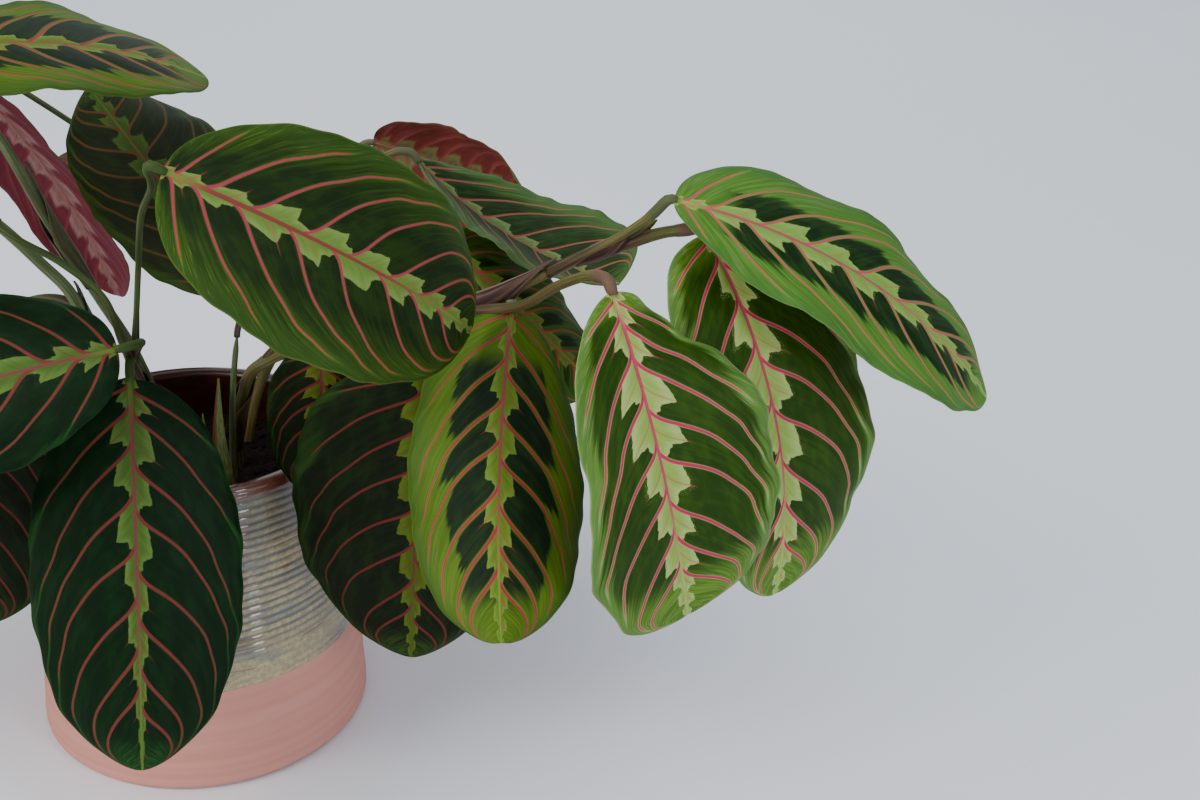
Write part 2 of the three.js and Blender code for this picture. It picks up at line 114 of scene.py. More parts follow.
LEAVES: dict[str, LeafSpec] = {
    "front_low": LeafSpec(
        "front", 0.97, (3, -61, 155), (-76, -59, -3), (116, 63), (19, 2, 4, 18), (0, 0.06, -0.03), 1.2,
        Look.DEEP, joint=(0.0, 0.0)),
    "front_left": LeafSpec(
        "front", 0.98, (4, -71, 169), (204, -6, -37), (114, 62), (26, 0, 4, 18), (0.1, 0, 0), 1.2,
        Look.DEEP, joint=(0.0, 0.0)),
    "front_high": LeafSpec(
        "front", 1, (35, -115, 235), (23, -28, 68), (113, 60), (38, 2, -2, 10), (0, 0.1, -0.1), 1.4,
        Look.RICH, joint=(0.0, 0.05)),
    "left_top": LeafSpec(
        "front", 0.95, (-98, -14, 240), (200, 10, 12), (100, 56), (34, 0, -4, 12), (0, 0.05, 0), 1.2,
        Look.BLOTCHED),
    "in_pot": LeafSpec(
        "right", 0.4, (53, -33, 155), (-104, -86, -8), (54, 38), (5, -2, 0, 20), (0.05, 0, 0), 0.6,
        Look.SHADED),
    "right_shaded": LeafSpec(
        "right", 0.62, (86, -45, 155), (-112, -83, -22), (106, 72), (16, 0, 2, 15), (0.15, 0, -0.1), 1.4,
        Look.SHADED),
    "middle_folded": LeafSpec(
        "right", 0.5, (76, 19, 201), (6, -48, 10), (83, 58), (-59, 42, -23, 11), (0, 0.2, -0.4), 1,
        Look.MUTED, joint=(0.3, 0.1)),
    "behind_sheath": LeafSpec(
        "right", 0.64, (88, -9, 184), (3, -42, 41), (73, 47), (12, -2, 8, 22), (0, 0, 0), 1.2,
        Look.SPOTTED),
    "right_front": LeafSpec(
        "right", 0.76, (112, -42, 176), (-93, -42, -10), (101, 55), (-5, -9, 9, 24), (0, 0.1, -0.15), 1.2,
        Look.BLOTCHED, joint=(0.2, 0.8)),
    "right_bright": LeafSpec(
        "right", 0.78, (141, -74, 195), (-56, -49, 1), (101, 65), (51, -16, -6, 4), (-0.15, 0.3, 0.05), 2.2,
        Look.BRIGHT, joint=(1.0, 0.0)),
    "right_hanging": LeafSpec(
        "right", 0.97, (167, -44, 203), (-42, -45, 15), (118, 66), (55, 8, -4, 8), (-0.1, 0.05, -0.15), 1.6,
        Look.BRIGHT, joint=(1.0, 0.0)),
    "right_far": LeafSpec(
        "right", 0.96, (157, -49, 214), (-5, -8, 24), (118, 57), (48, 4, -1, 12), (-0.05, 0.1, 0.15), 1.6,
        Look.OPEN, joint=(0.2, 0.1)),
    "upright": LeafSpec(
        "upright", 1, (25, -20, 168), (139, 34, -24), (108, 57), (23, 2, 9, 24), (0.15, 0.05, -0.1), 1.2,
        Look.DUSKY),
    "left_hanging": LeafSpec(
        "left", 0.42, (-52, -34, 150), (-98, -72, 6), (90, 54), (10, 0, 5, 20), (0, 0.05, 0), 1.2,
        Look.SHADED),
    "top_left": LeafSpec(
        "left", 0.66, (-71, -51, 239), (30, 14, 16), (106, 59), (44, -2, -1, 11), (-0.1, 0, -0.05), 1.4,
        Look.BLOTCHED),
    "left_low": LeafSpec(
        "left", 0.82, (-104, -52, 190), (-160, -52, 0), (114, 62), (24, 0, 4, 18), (0, 0.05, 0), 1.4,
        Look.RICH),
    "left_out": LeafSpec(
        "left", 1, (-144, -46, 198), (205, -38, 10), (116, 62), (28, 0, 3, 18), (-0.05, 0.05, 0), 1.6,
        Look.BRIGHT),
    "left_high": LeafSpec(
        "left", 0.98, (-130, -12, 220), (168, -8, -16), (112, 60), (36, 0, 2, 14), (0.05, 0.05, 0), 1.4,
        Look.OPEN),
    "left_turned": LeafSpec(
        "back_left", 0.75, (-75, 33, 218), (54, -51, -7), (103, 55), (23, 0, 4, 17), (0, -0.05, -0.05), 1.2,
        Look.RICH, Underside.CRIMSON),
    "left_back": LeafSpec(
        "back_left", 0.98, (-126, 24, 204), (128, -34, -8), (110, 60), (26, 0, 3, 18), (0, 0.05, 0), 1.4,
        Look.RICH),
    "back_left": LeafSpec(
        "back_left", 1, (-122, 70, 196), (122, -38, 0), (114, 62), (24, 0, 4, 18), (0.05, 0.05, 0), 1.4,
        Look.BLOTCHED),
    "back_low": LeafSpec(
        "back_left", 0.84, (-48, 78, 184), (98, -22, 4), (106, 60), (30, 0, 4, 18), (0, 0.05, 0), 1.2,
        Look.BRIGHT),
    "back_turned": LeafSpec(
        "back_right", 0.62, (48, 99, 184), (-13, -9, -91), (96, 62), (64, 11, 17, 29), (-0.3, 0, 0.05), 1.6,
        Look.RICH),
    "back_mid": LeafSpec(
        "back_right", 0.8, (24, 116, 150), (92, -40, -6), (112, 62), (24, 0, 4, 18), (-0.05, 0.05, 0), 1.4,
        Look.DEEP),
    "back_right": LeafSpec(
        "back_right", 1, (64, 112, 142), (60, -32, -8), (110, 60), (28, 0, 3, 18), (0, 0.05, 0), 1.4,
        Look.RICH),
    "back_out": LeafSpec(
        "back_right", 0.98, (84, 80, 138), (30, -34, -10), (100, 58), (26, 0, 3, 18), (0.05, 0.05, 0), 1.2,
        Look.OPEN),
}


@dataclass(frozen=True)
class BladeSizes:
    """The sizes that all blades share."""

    thickness: float = 0.45
    base_half_width: float = 1.6
    tip_half_width: float = 0.5
    waves: float = 2.7
    wave_reach: float = 2.5
    rows: int = 118
    half_columns: int = 23
    quilting: float = 0.3
    midrib_groove: float = 0.34
    midrib_ridge: float = 0.8
    flutter: float = 0.18
    midrib_steps: int = 600


# Lobes and notches of single leaves' outlines: side, middle and width along the leaf, and amount.
OUTLINE_LOBES: dict[str, list[tuple[int, float, float, float]]] = {
    "right_bright": [
        (-1, 0.05, 0.05, -0.33), (-1, 0.15, 0.08, -0.3), (-1, 0.21, 0.03, 0.05), (-1, 0.3, 0.06, -0.04),
        (-1, 0.76, 0.08, -0.08), (-1, 0.9, 0.08, 0.14), (-1, 0.97, 0.04, 0.3),
        (1, 0.22, 0.09, 0.1), (1, 0.45, 0.08, -0.12), (1, 0.75, 0.14, 0.14), (1, 0.93, 0.05, 0.3),
        (1, 0.98, 0.03, 0.25)],
    "right_far": [(1, 0.93, 0.04, -0.08)],
    "middle_folded": [(-1, 0.72, 0.05, -0.05)],
}

# Where the side veins leave the midrib, as shares of the leaf's length, and the number of each.
# Beyond the last of them only the pale band's teeth go on, closer together. The veins sweep towards
# the tip, more so further out, and VEIN_EDGE is how soft their edges are, in millimetres.
VEIN_ORIGINS = [0.0, 0.03, 0.1, 0.22, 0.35, 0.485, 0.615, 0.735, 0.84, 0.92, 1.0]
VEIN_NUMBERS = [*range(-1, 9), 9.4]
VEIN_LAST = 7.5
VEIN_EDGE = 0.24
VEIN_SWEEP = (0.72, 0.28)
VEIN_SWEEP_START = 0.12
VEIN_STRAIGHT = (0.35, 0.65)
VEIN_JOIN = (0.03, 0.05)
VEIN_HALVINGS = 30

# A UV map holds small numbers best, so vein numbers, pitches and lengths are divided by these.
PHASE_SCALE = 10.0
PITCH_SCALE = 50.0
LENGTH_SCALE = 100.0

# The pale band's tooth between two veins, in shares of the band's width and of the way to the next
# vein. It rises to a peak, drops, and runs down a tail. Each pair is a slope and a start.
TOOTH_RISE = (0.6, 0.72)
TOOTH_DROP = (-3.2, 1.0)
TOOTH_TAIL = (-0.8, 0.94)
TOOTH_PEAK = (0.12, 0.4)
TOOTH_SIZE = (0.3, 0.85)
TOOTH_UNEVEN = (0.26, -0.13)

# A grown leaf's usual sizes, in millimetres, for the scales of its fine markings.
VEIN_GAP = 12.54
HALF_WIDTH = 30.0


# Sizes of the stems and stalks


@dataclass(frozen=True)
class StalkSizes:
    """The sizes that all stems and leaf stalks share."""

    stem_foot_radius: float = 2.1
    stem_end_radius: float = 1.5
    node_extra: float = 0.3
    radius: float = 1.05
    sheath_extra: float = 0.75
    sheath_length: float = 24.0
    sheath_thickness: float = 0.25
    joint_extra: float = 0.3
    joint_length: float = 10.0
    plain_hook: float = 15.0
    overlap: float = 0.8
    ring_spacing: float = 1.4
    sheath_rows: int = 36
    sheath_columns: int = 22


class StemTone(Enum):
    """The colouring of a shoot's stem and stalks."""

    OLIVE = "olive"
    DARK = "dark"
    PALE = "pale"


@dataclass(frozen=True)
class Sheath:
    """One sheath: where it begins and ends along the stem, and its greatest radius.

    tint is how brown it is, and facing is the angle round the stem that its tip is on.
    """

    start: float
    end: float
    radius: float
    tint: float = 1.0
    facing: float = 1.1


@dataclass(frozen=True)
class ShootSpec:
    """One shoot: the points of its stem, and its sheaths."""

    route: Route
    sheaths: list[Sheath]
    tone: StemTone = StemTone.PALE
    girth: float = 1.0


@dataclass(frozen=True)
class StalkRoute:
    """How a stalk runs: its points, the straight piece at its leaf, its radius and where it starts."""

    points: Route
    hook: float
    radius: float = 1.05
    share: float | None = None


STALK_ROUTES: dict[str, StalkRoute] = {
    "front_high": StalkRoute([(10, -65, 192), (21, -91, 216), (29, -106, 228)], 4, 0.88),
    "middle_folded": StalkRoute([(60, -24, 176), (58, -4, 190), (65, 15, 203)], 5),
    "left_top": StalkRoute(
        [(0, -56, 165), (-4, -56, 178), (-15, -56, 188), (-30, -55, 196), (-70, -34, 222)], 8),
    "right_bright": StalkRoute([(114, -45, 178), (126, -55, 189), (136, -67, 197)], 4, 1.5, 0.69),
    "right_hanging": StalkRoute([(154, -43, 202), (162, -44, 204)], 3, 1.7, 0.9),
    "right_far": StalkRoute([(143, -44, 201), (151, -47, 208.5)], 2, 1.3, 0.84),
}

SHOOTS: dict[str, ShootSpec] = {
    "front": ShootSpec(
        [(3, -18, 70), (4, -21, 100), (3, -36, 128), (0, -48, 152)],
        [Sheath(0.86, 1, 2.9, 0.3)],
        StemTone.DARK),
    "right": ShootSpec(
        [(14, 10, 70), (14, 7, 98), (21, -7, 126), (33, -24, 146), (66, -33, 163), (102, -38, 176),
         (124, -40, 188), (144, -42, 199), (153, -40, 205)],
        [Sheath(0.13, 0.36, 2.9, 0.25), Sheath(0.52, 0.68, 3.0), Sheath(0.69, 0.86, 3.0, 1.0, 0.3),
         Sheath(0.88, 0.99, 2.5, 1.0, 0.2)],
        StemTone.OLIVE),
    "upright": ShootSpec(
        [(15, -4, 70), (16, -6, 104), (20, -15, 132), (24, -21, 153)], [], StemTone.PALE, 0.62),
    "left": ShootSpec(
        [(-20, -6, 70), (-20, -10, 100), (-18, -22, 132), (-21, -32, 165), (-30, -34, 179),
         (-48, -35, 196), (-76, -36, 208), (-104, -34, 206), (-124, -32, 200)],
        [Sheath(0.34, 0.48, 2.8, 0.35), Sheath(0.6, 0.76, 3.2, 0.35), Sheath(0.8, 0.94, 2.8, 0.5)]),
    "back_left": ShootSpec(
        [(-13, 20, 70), (-17, 23, 100), (-25, 24, 125), (-34, 20, 147), (-46, 14, 176),
         (-57, 11, 203), (-74, 18, 220), (-92, 36, 222), (-104, 50, 214)],
        [Sheath(0.4, 0.62, 2.9, 0.4), Sheath(0.7, 0.84, 3, 0.5), Sheath(0.86, 0.98, 2.6, 0.5)]),
    "back_right": ShootSpec(
        [(12, 22, 70), (14, 25, 98), (20, 38, 119), (35, 68, 135), (54, 90, 140)],
        [Sheath(0.5, 0.7, 2.9, 0.6), Sheath(0.78, 0.96, 2.8, 0.7)],
        StemTone.OLIVE),
}

ROLLED_LEAVES: dict[str, tuple[Route, float]] = {
    "rolled_leaf_tall": ([(17, -16, 74), (16, -17, 96), (15, -17, 116), (16, -17, 136)], 3.2),
    "rolled_leaf_short": ([(10, -13, 74), (10, -15, 94), (10, -16, 108), (10, -17, 123)], 2.4),
}

# Where the seam of a rolled leaf is, as a share of the way round, and the length, in millimetres,
# that the second coordinate of the skin's UV map counts in.
ROLLED_SEAM = 0.62
RUN_UNIT = 10.0


# Colour helpers


def linear(hexadecimal: str) -> tuple[float, float, float, float]:
    """Turns an sRGB colour into the linear one that Blender's nodes take.

    Args:
        hexadecimal: The colour as six hexadecimal digits.

    Returns:
        Linear red, green and blue, with an alpha of 1.
    """
    channels = [int(hexadecimal[start:start + 2], 16) / 255 for start in (0, 2, 4)]
    values = [c / 12.92 if c <= 0.04045 else ((c + 0.055) / 1.055) ** 2.4 for c in channels]
    return (values[0], values[1], values[2], 1.0)


# Settings of nodes: sums of a Math node, a MapRange's smooth step, and a Mix of colours.
PLUS, MINUS = {"operation": "ADD"}, {"operation": "SUBTRACT"}
TIMES, TIMES_PLUS = {"operation": "MULTIPLY"}, {"operation": "MULTIPLY_ADD"}
ABSOLUTE = {"operation": "ABSOLUTE"}
SMOOTH = {"interpolation_type": "SMOOTHSTEP"}
COLOUR = {"data_type": "RGBA"}


class Graph:
    """A material's node tree, and the one small function that adds a node to it."""

    def __init__(self, name: str) -> None:
        """Makes an empty material.

        Args:
            name: The material's name.
        """
        self.material = bpy.data.materials.new(name)
        self.material.use_nodes = True
        self.tree = self.material.node_tree
        self.tree.nodes.clear()

    def node(self, kind: str, *values: object, output: int = 0, named: dict[str, object] | None = None,
             **settings: object) -> Socket:
        """Adds a node with its settings, values and links.

        Args:
            kind: The node's type, without the ShaderNode at its start.
            values: Sockets to link, constants or sRGB colours, for the inputs in use, in their order.
            output: Which of the outputs in use is wanted.
            named: More of them, by the names of their inputs.
            settings: The node's own properties.

        Returns:
            The output's socket.
        """
        made = self.tree.nodes.new("ShaderNode" + kind)
        for key, value in settings.items():
            setattr(made, key, value)
        targets = list(zip([socket for socket in made.inputs if socket.enabled], values))
        targets += [(made.inputs[key], value) for key, value in (named or {}).items()]
        for target, value in targets:
            if isinstance(value, Socket):
                self.tree.links.new(value, target)
            else:
                target.default_value = linear(value) if isinstance(value, str) else value
        return [socket for socket in made.outputs if socket.enabled][output]

    def place(self) -> Socket:
        """Gives the place on the object, in millimetres."""
        place = self.node("TexCoord", output=3)
        return self.node("VectorMath", place, named={"Scale": 1 / MM}, operation="SCALE")

    def finish(self, shader: Socket) -> Material:
        """Links the shader to the material's output.

        Args:
            shader: The shader's socket.

        Returns:
            The finished material.
        """
        output = self.tree.nodes.new("ShaderNodeOutputMaterial")
        self.tree.links.new(shader, output.inputs["Surface"])
        return self.material


# Finishes

# A noise runs from about 0.25 to 0.75. In a MapRange the numbers after the value are where a step
# begins and ends, and then what it gives there. A pattern's scale is 1 over its size in millimetres.


@dataclass(frozen=True)
class LeafTone:
    """The colours and proportions of a leaf's markings.

    Pairs run from the plain colour to its streaks, or from the midrib outwards. Widths are
    millimetres, reaches are shares of the way to the edge, and spans are shares of the length.
    """

    dark: tuple[str, str]
    mid: tuple[str, str]
    margin: str
    band: tuple[str, str]
    vein: tuple[str, str]
    midrib: tuple[str, str]
    halo: str
    halo_strength: float
    band_width: float
    dark_reach: float
    dark_soft: float
    dark_gap: float
    dark_span: Pair = (-0.1, 1.0)
    streaks: float = 0.35
    lean: float = 0.0
    band_taper: float = 0.5
    band_soft: float = 0.13
    vein_width: float = 0.5
    roughness: float = 0.5
    band_opening: float = 0.36


TOP_TONES: dict[Look, LeafTone] = {
    # Almost black green with dull red veins and a narrow, dull band.
    Look.DEEP: LeafTone(
        ("061e08", "0b290d"), ("153a14", "234f1e"), "1a4017", ("426224", "607c38"), ("74332e", "6a382c"),
        ("74423a", "567a2e"), "24481f", halo_strength=0.2, band_width=5.6, dark_reach=0.97, dark_soft=0.07,
        dark_gap=0.3, streaks=0.12, band_taper=1.0, band_soft=0.18, vein_width=0.62, band_opening=0.1),
    # Dark olive, darkened as painted shade for leaves that lie in shade, with brownish veins and a mossy
    # band.
    Look.SHADED: LeafTone(
        ("0a1500", "122404"), ("1a300c", "2c4610"), "1f3c10", ("46580f", "5a6e1c"), ("6c2226", "642a24"),
        ("64332a", "475c1a"), "273c0e", halo_strength=0.2, band_width=6.0, dark_reach=0.9, dark_soft=0.1,
        dark_gap=0.3, dark_span=(-0.1, 0.98), streaks=0.2, band_taper=0.6, vein_width=0.56,
        band_opening=0.12),
    # Brownish olive, darkened as painted shade for a leaf behind the others, that hardly shows its
    # markings.
    Look.DUSKY: LeafTone(
        ("111b00", "182700"), ("22370a", "30480a"), "2a430c", ("2d4512", "3e5a1a"), ("5a2c1a", "58341c"),
        ("5c4422", "40581c"), "2e460c", halo_strength=0.1, band_width=6.2, dark_reach=0.85, dark_soft=0.1,
        dark_gap=0.5, streaks=0.25, band_soft=0.3, band_opening=0.2),
    # Dark green with long silky streaks, raspberry veins and a bright band.
    Look.RICH: LeafTone(
        ("172a0c", "22390e"), ("2c4610", "3e5c16"), "36541a", ("6b8c38", "88a352"), ("ba3a54", "b04a46"),
        ("8c463a", "8a9844"), "7c8f3e", halo_strength=0.3, band_width=5.5, dark_reach=0.6, dark_soft=0.3,
        dark_gap=0.15, lean=-0.08, streaks=0.28, band_taper=0.4, vein_width=0.5),
    # Greyed green with soft dark patches and pink veins.
    Look.MUTED: LeafTone(
        ("1c3012", "273f1a"), ("3c5a26", "4e7034"), "486a36", ("5a783f", "7a945a"), ("ac4850", "a8584a"),
        ("925a48", "748e50"), "5c7a44", halo_strength=0.25, band_width=3.6, dark_reach=0.6, dark_soft=0.2,
        dark_gap=0.4, streaks=0.3, vein_width=0.48),
    # Olive green with separate blue-black blotches along a yellow-green band.
    Look.BLOTCHED: LeafTone(
        ("122413", "1a2f17"), ("486616", "58761e"), "36561a", ("58781e", "748f38"), ("a22840", "9c3c42"),
        ("8a4e44", "7c9038"), "6a8430", halo_strength=0.28, band_width=4.6, dark_reach=0.5, dark_soft=0.03,
        dark_gap=0.95, dark_span=(0.13, 0.93), streaks=0.1, lean=-0.05, band_soft=0.1, vein_width=0.54),
    # Mid green with small dark blotches and salmon veins.
    Look.OPEN: LeafTone(
        ("10280c", "1a3810"), ("4a7826", "5e8a36"), "41702f", ("76a244", "90b45a"), ("c64a5c", "c05e4e"),
        ("a8585a", "a4b458"), "7a9c4c", halo_strength=0.35, band_width=6.6, dark_reach=0.42,
        dark_soft=0.035, dark_gap=0.8, dark_span=(0.1, 0.96), streaks=0.1, lean=0.07, band_soft=0.12,
        vein_width=0.5),
    # Fresh green with a wide cream band and crimson veins.
    Look.BRIGHT: LeafTone(
        ("223e06", "2f4c08"), ("4a711c", "6a8e2e"), "5a843a", ("8eb04c", "b4ca78"), ("c62656", "be4452"),
        ("b84e5e", "b0c06c"), "b4be84", halo_strength=0.5, band_width=8.6, dark_reach=0.78, dark_soft=0.08,
        dark_gap=0.3, dark_span=(0.03, 0.9), streaks=0.15, lean=-0.06, band_soft=0.1, vein_width=0.58),
    # Yellowish green with short brown-green spots.
    Look.SPOTTED: LeafTone(
        ("142a08", "1f3a0e"), ("345414", "46701e"), "3a641a", ("5c7c28", "789440"), ("a84638", "a86044"),
        ("985844", "86983f"), "58792a", halo_strength=0.25, band_width=4.6, dark_reach=0.36, dark_soft=0.05,
        dark_gap=2.2, dark_span=(0.1, 0.9), streaks=0.15),
}

UNDER_TONES: dict[Underside, LeafTone] = {
    # Wine red with a broad silvery pink middle.
    Underside.CRIMSON: LeafTone(
        ("661a2a", "75232f"), ("76262f", "82343f"), "6e3230", ("8c5a56", "a88680"), ("88303e", "883242"),
        ("946c5c", "946c5c"), "7c2c3a", halo_strength=0.2, band_width=8.0, dark_reach=0.9, dark_soft=0.2,
        dark_gap=0.8, streaks=0.4, band_soft=1.6, vein_width=0.45, roughness=0.6, band_opening=0.12),
    # Brick red with an olive middle.
    Underside.RUSSET: LeafTone(
        ("6e302a", "7a3a34"), ("7c3c34", "884a40"), "74443a", ("665c40", "84824e"), ("96424a", "96484a"),
        ("8c7048", "8c7048"), "7c3e34", halo_strength=0.2, band_width=7.0, dark_reach=0.8, dark_soft=0.2,
        dark_gap=1.0, streaks=0.4, band_soft=1.4, vein_width=0.45, roughness=0.6, band_opening=0.12),
}


class LeafSkin:
    """A living leaf's top or underside: waxy over silky cells, with its markings in the tissue.

    The cells spread the light to a broad, soft sheen, and a little light comes through the blade.
    """

    RELIEF = 0.05

    def __init__(self, name: str, tone: LeafTone, glow: float) -> None:
        """Reads the leaf's maps.

        Args:
            name: The material's name.
            tone: The colours and proportions of the markings.
            glow: How much light comes through the blade.
        """
        self.graph = Graph(name)
        self.tone = tone
        self.glow = glow
        node = self.graph.node
        vein_map = node("UVMap", uv_map="vein")
        blade_map = node("UVMap", uv_map="blade")
        spot_map = node("UVMap", uv_map="spot")
        self.phase = node("Math", node("SeparateXYZ", vein_map), PHASE_SCALE, **TIMES)
        pitch = node("SeparateXYZ", vein_map, output=1)
        self.pitch = node("Math", pitch, PITCH_SCALE, **TIMES)
        self.side = node("SeparateXYZ", blade_map)
        self.along = node("SeparateXYZ", blade_map, output=1)
        self.reach = node("Math", self.side, **ABSOLUTE)
        across = node("Math", node("SeparateXYZ", spot_map), **ABSOLUTE)
        self.across = node("Math", across, LENGTH_SCALE, **TIMES)
        self.seed = node("SeparateXYZ", spot_map, output=1)
        self.fraction = node("Math", self.phase, operation="FRACT")
        doubled = node("Math", self.fraction, 2.0, **TIMES)
        nearest = node("Math", doubled, 1.0, operation="PINGPONG")
        spacing = node("Math", self.pitch, 0.5, **TIMES)
        beyond = node("Math", self.phase, VEIN_LAST, operation="GREATER_THAN")
        nearest = node("Math", nearest, beyond, operation="MAXIMUM")
        self.vein_distance = node("Math", nearest, spacing, **TIMES)
        self.draw_intervals()
        self.weave_silk()

    def draw_intervals(self) -> None:
        """Draws three numbers for each interval between two veins."""
        node = self.graph.node
        interval = node("Math", self.phase, operation="FLOOR")
        leaf = node("Math", self.seed, 9.0, **TIMES)
        half = node("Math", self.side, 0.0, operation="GREATER_THAN")
        cell = node("CombineXYZ", interval, leaf, half)
        colour = node("TexWhiteNoise", cell, output=1, noise_dimensions="3D")
        self.size_draw, self.peak_draw, self.minor_draw = [
            node("SeparateColor", colour, output=channel) for channel in range(3)
        ]
        self.peak = node("Math", self.peak_draw, *TOOTH_PEAK, **TIMES_PLUS)

    def weave_silk(self) -> None:
        """Makes the noises that run with the veins, from broad patches to fine fibres.

        A row holds a field, the length that it counts in, and the noise's width along the midrib and
        length outwards, in millimetres. A leaf's real fibres are too fine to show, so these are wider.
        """
        node = self.graph.node
        shifted = node("Math", self.seed, 37.0, self.phase, **TIMES_PLUS)
        noises = []
        for field_value, counted, width, length, detail in (
            (self.reach, HALF_WIDTH, 1.4, 16.7, 3.0),
            (self.reach, HALF_WIDTH, 0.33, 4.93, 2.0),
            (self.across, 1.0, 5.7, 4.55, 2.0),
            (self.across, 1.0, 1.8, 2.86, 1.0),
            (self.reach, HALF_WIDTH, 3.9, 13.4, 1.0),
        ):
            scale = round(VEIN_GAP / width, 1)
            run = node("Math", field_value, counted / (length * scale), **TIMES)
            noises.append(node("TexNoise", node("CombineXYZ", shifted, run, self.seed), scale, detail, 0.6))
        self.silk, self.fibre, self.patch, self.scallop, self.swell = noises

    def band_edge(self) -> Socket:
        """Works out where the pale band ends: a tooth in each interval, with a bay at the next vein.

        Returns:
            The distance from the midrib, in millimetres.
        """
        node = self.graph.node
        rise = node("Math", self.fraction, *TOOTH_RISE, **TIMES_PLUS)
        past = node("Math", self.fraction, self.peak, **MINUS)
        drop = node("Math", past, *TOOTH_DROP, **TIMES_PLUS)
        tail = node("Math", self.fraction, *TOOTH_TAIL, **TIMES_PLUS)
        tooth = node("Math", rise, node("Math", drop, tail, operation="MAXIMUM"), operation="MINIMUM")
        size = node("Math", self.size_draw, *TOOTH_SIZE, **TIMES_PLUS)
        uneven = node("Math", self.scallop, *TOOTH_UNEVEN, **TIMES_PLUS)
        tooth = node("Math", tooth, size, uneven, **TIMES_PLUS)

        # The band opens at the leaf's base and narrows to its tip.
        left = node("Math", 1.0, self.along, **MINUS)
        narrowing = node("Math", left, self.tone.band_taper, operation="POWER")
        narrowing = node("Math", narrowing, 1.3, **TIMES)
        narrowing = node("Math", narrowing, 1.0, operation="MINIMUM")
        opening = node("MapRange", self.along, 0.0, self.tone.band_opening, 0.3, 1.0, **SMOOTH)
        width = node("Math", narrowing, opening, **TIMES)
        width = node("Math", width, self.tone.band_width, **TIMES)
        return node("Math", tooth, width, 0.3, **TIMES_PLUS)

    def darkness(self) -> Socket:
        """Works out the dark blotches between the veins.

        Returns:
            1 in a blotch and 0 outside.
        """
        node, tone = self.graph.node, self.tone

        # A blotch bulges in the middle of its interval, and the silk feathers its outer edge.
        middle = node("Math", self.fraction, 0.5, **MINUS)
        bulge = node("Math", middle, middle, **TIMES)
        bulge = node("Math", bulge, -0.56, 1.0, **TIMES_PLUS)
        edge = node("Math", self.side, tone.lean, tone.dark_reach, **TIMES_PLUS)
        edge = node("Math", edge, bulge, **TIMES)
        edge = node("Math", self.peak_draw, 0.1, edge, **TIMES_PLUS)
        uneven = node("Math", self.swell, 0.3, -0.2, **TIMES_PLUS)
        fringe = 0.14 + 0.5 * tone.dark_soft
        feather = node("Math", self.silk, fringe, -0.5 * fringe, **TIMES_PLUS)
        beyond = node("Math", self.reach, edge, **MINUS)
        beyond = node("Math", beyond, node("Math", uneven, feather, **PLUS), **PLUS)
        inside = node("MapRange", beyond, tone.dark_soft, -tone.dark_soft, **SMOOTH)

        # It keeps clear of the veins, and of the leaf's base and tip.
        loose = node("Math", feather, 1.6, self.vein_distance, **TIMES_PLUS)
        clear = node("MapRange", loose, tone.dark_gap * 0.55, tone.dark_gap + 0.15, **SMOOTH)
        placed = node("Math", feather, 0.5, self.along, **TIMES_PLUS)
        first, last = tone.dark_span
        begun = node("MapRange", placed, first, first + 0.07, **SMOOTH)
        ended = node("MapRange", placed, last, last - 0.1, **SMOOTH)
        dark = node("Math", inside, clear, **TIMES)
        return node("Math", dark, node("Math", begun, ended, **TIMES), **TIMES)

    def tissue(self, dark: Socket, band: Socket, band_edge: Socket) -> Socket:
        """Colours the blade between its veins.

        Args:
            dark: The share of the dark blotches.
            band: The share of the pale band.
            band_edge: Where the band ends, in millimetres.

        Returns:
            The colour.
        """
        node, tone = self.graph.node, self.tone

        # The plain green, with silky streaks, a margin and fine dashes.
        streak = node("MapRange", self.silk, 0.4, 0.65, **SMOOTH)
        mid = node("Mix", streak, *tone.mid, **COLOUR)
        outer = node("MapRange", self.reach, 0.7, 1.0, 0.0, 0.85, **SMOOTH)
        mid = node("Mix", outer, mid, tone.margin, **COLOUR)
        dash = node("MapRange", self.fibre, 0.56, 0.68, 0.0, 0.4, **SMOOTH)
        far = node("MapRange", self.reach, 0.3, 0.85, **SMOOTH)
        dash = node("Math", dash, far, **TIMES)
        mid = node("Mix", dash, mid, tone.halo, **COLOUR)

        # The dark blotches, broken by patches and thin streaks.
        lighter = node("MapRange", self.patch, 0.42, 0.7, **SMOOTH)
        deep = node("Mix", lighter, *tone.dark, **COLOUR)
        thin = node("MapRange", self.silk, 0.46, 0.62, 0.0, tone.streaks, **SMOOTH)
        deep = node("Mix", thin, deep, tone.mid[0], **COLOUR)
        colour = node("Mix", dark, mid, deep, **COLOUR)

        # The pale band, paler towards its teeth.
        outward = node("Math", self.across, band_edge, operation="DIVIDE")
        outward = node("MapRange", outward, 0.35, 1.0, 0.0, 0.7, **SMOOTH)
        pale = node("Math", streak, 0.3, outward, **TIMES_PLUS)
        pale = node("Mix", pale, *tone.band, **COLOUR)
        return node("Mix", band, colour, pale, **COLOUR)

    def veined(self, colour: Socket, line: Socket, band_edge: Socket) -> Socket:
        """Draws the midrib, the side veins with their pale edges, and short veins between them.

        Args:
            colour: The colour between the veins.
            line: The share of the side veins.
            band_edge: Where the band ends, in millimetres.

        Returns:
            The colour.
        """
        node, tone = self.graph.node, self.tone
        edge = node("MapRange", line, 0.0, 0.5, 0.0, tone.halo_strength)
        colour = node("Mix", edge, colour, tone.halo, **COLOUR)

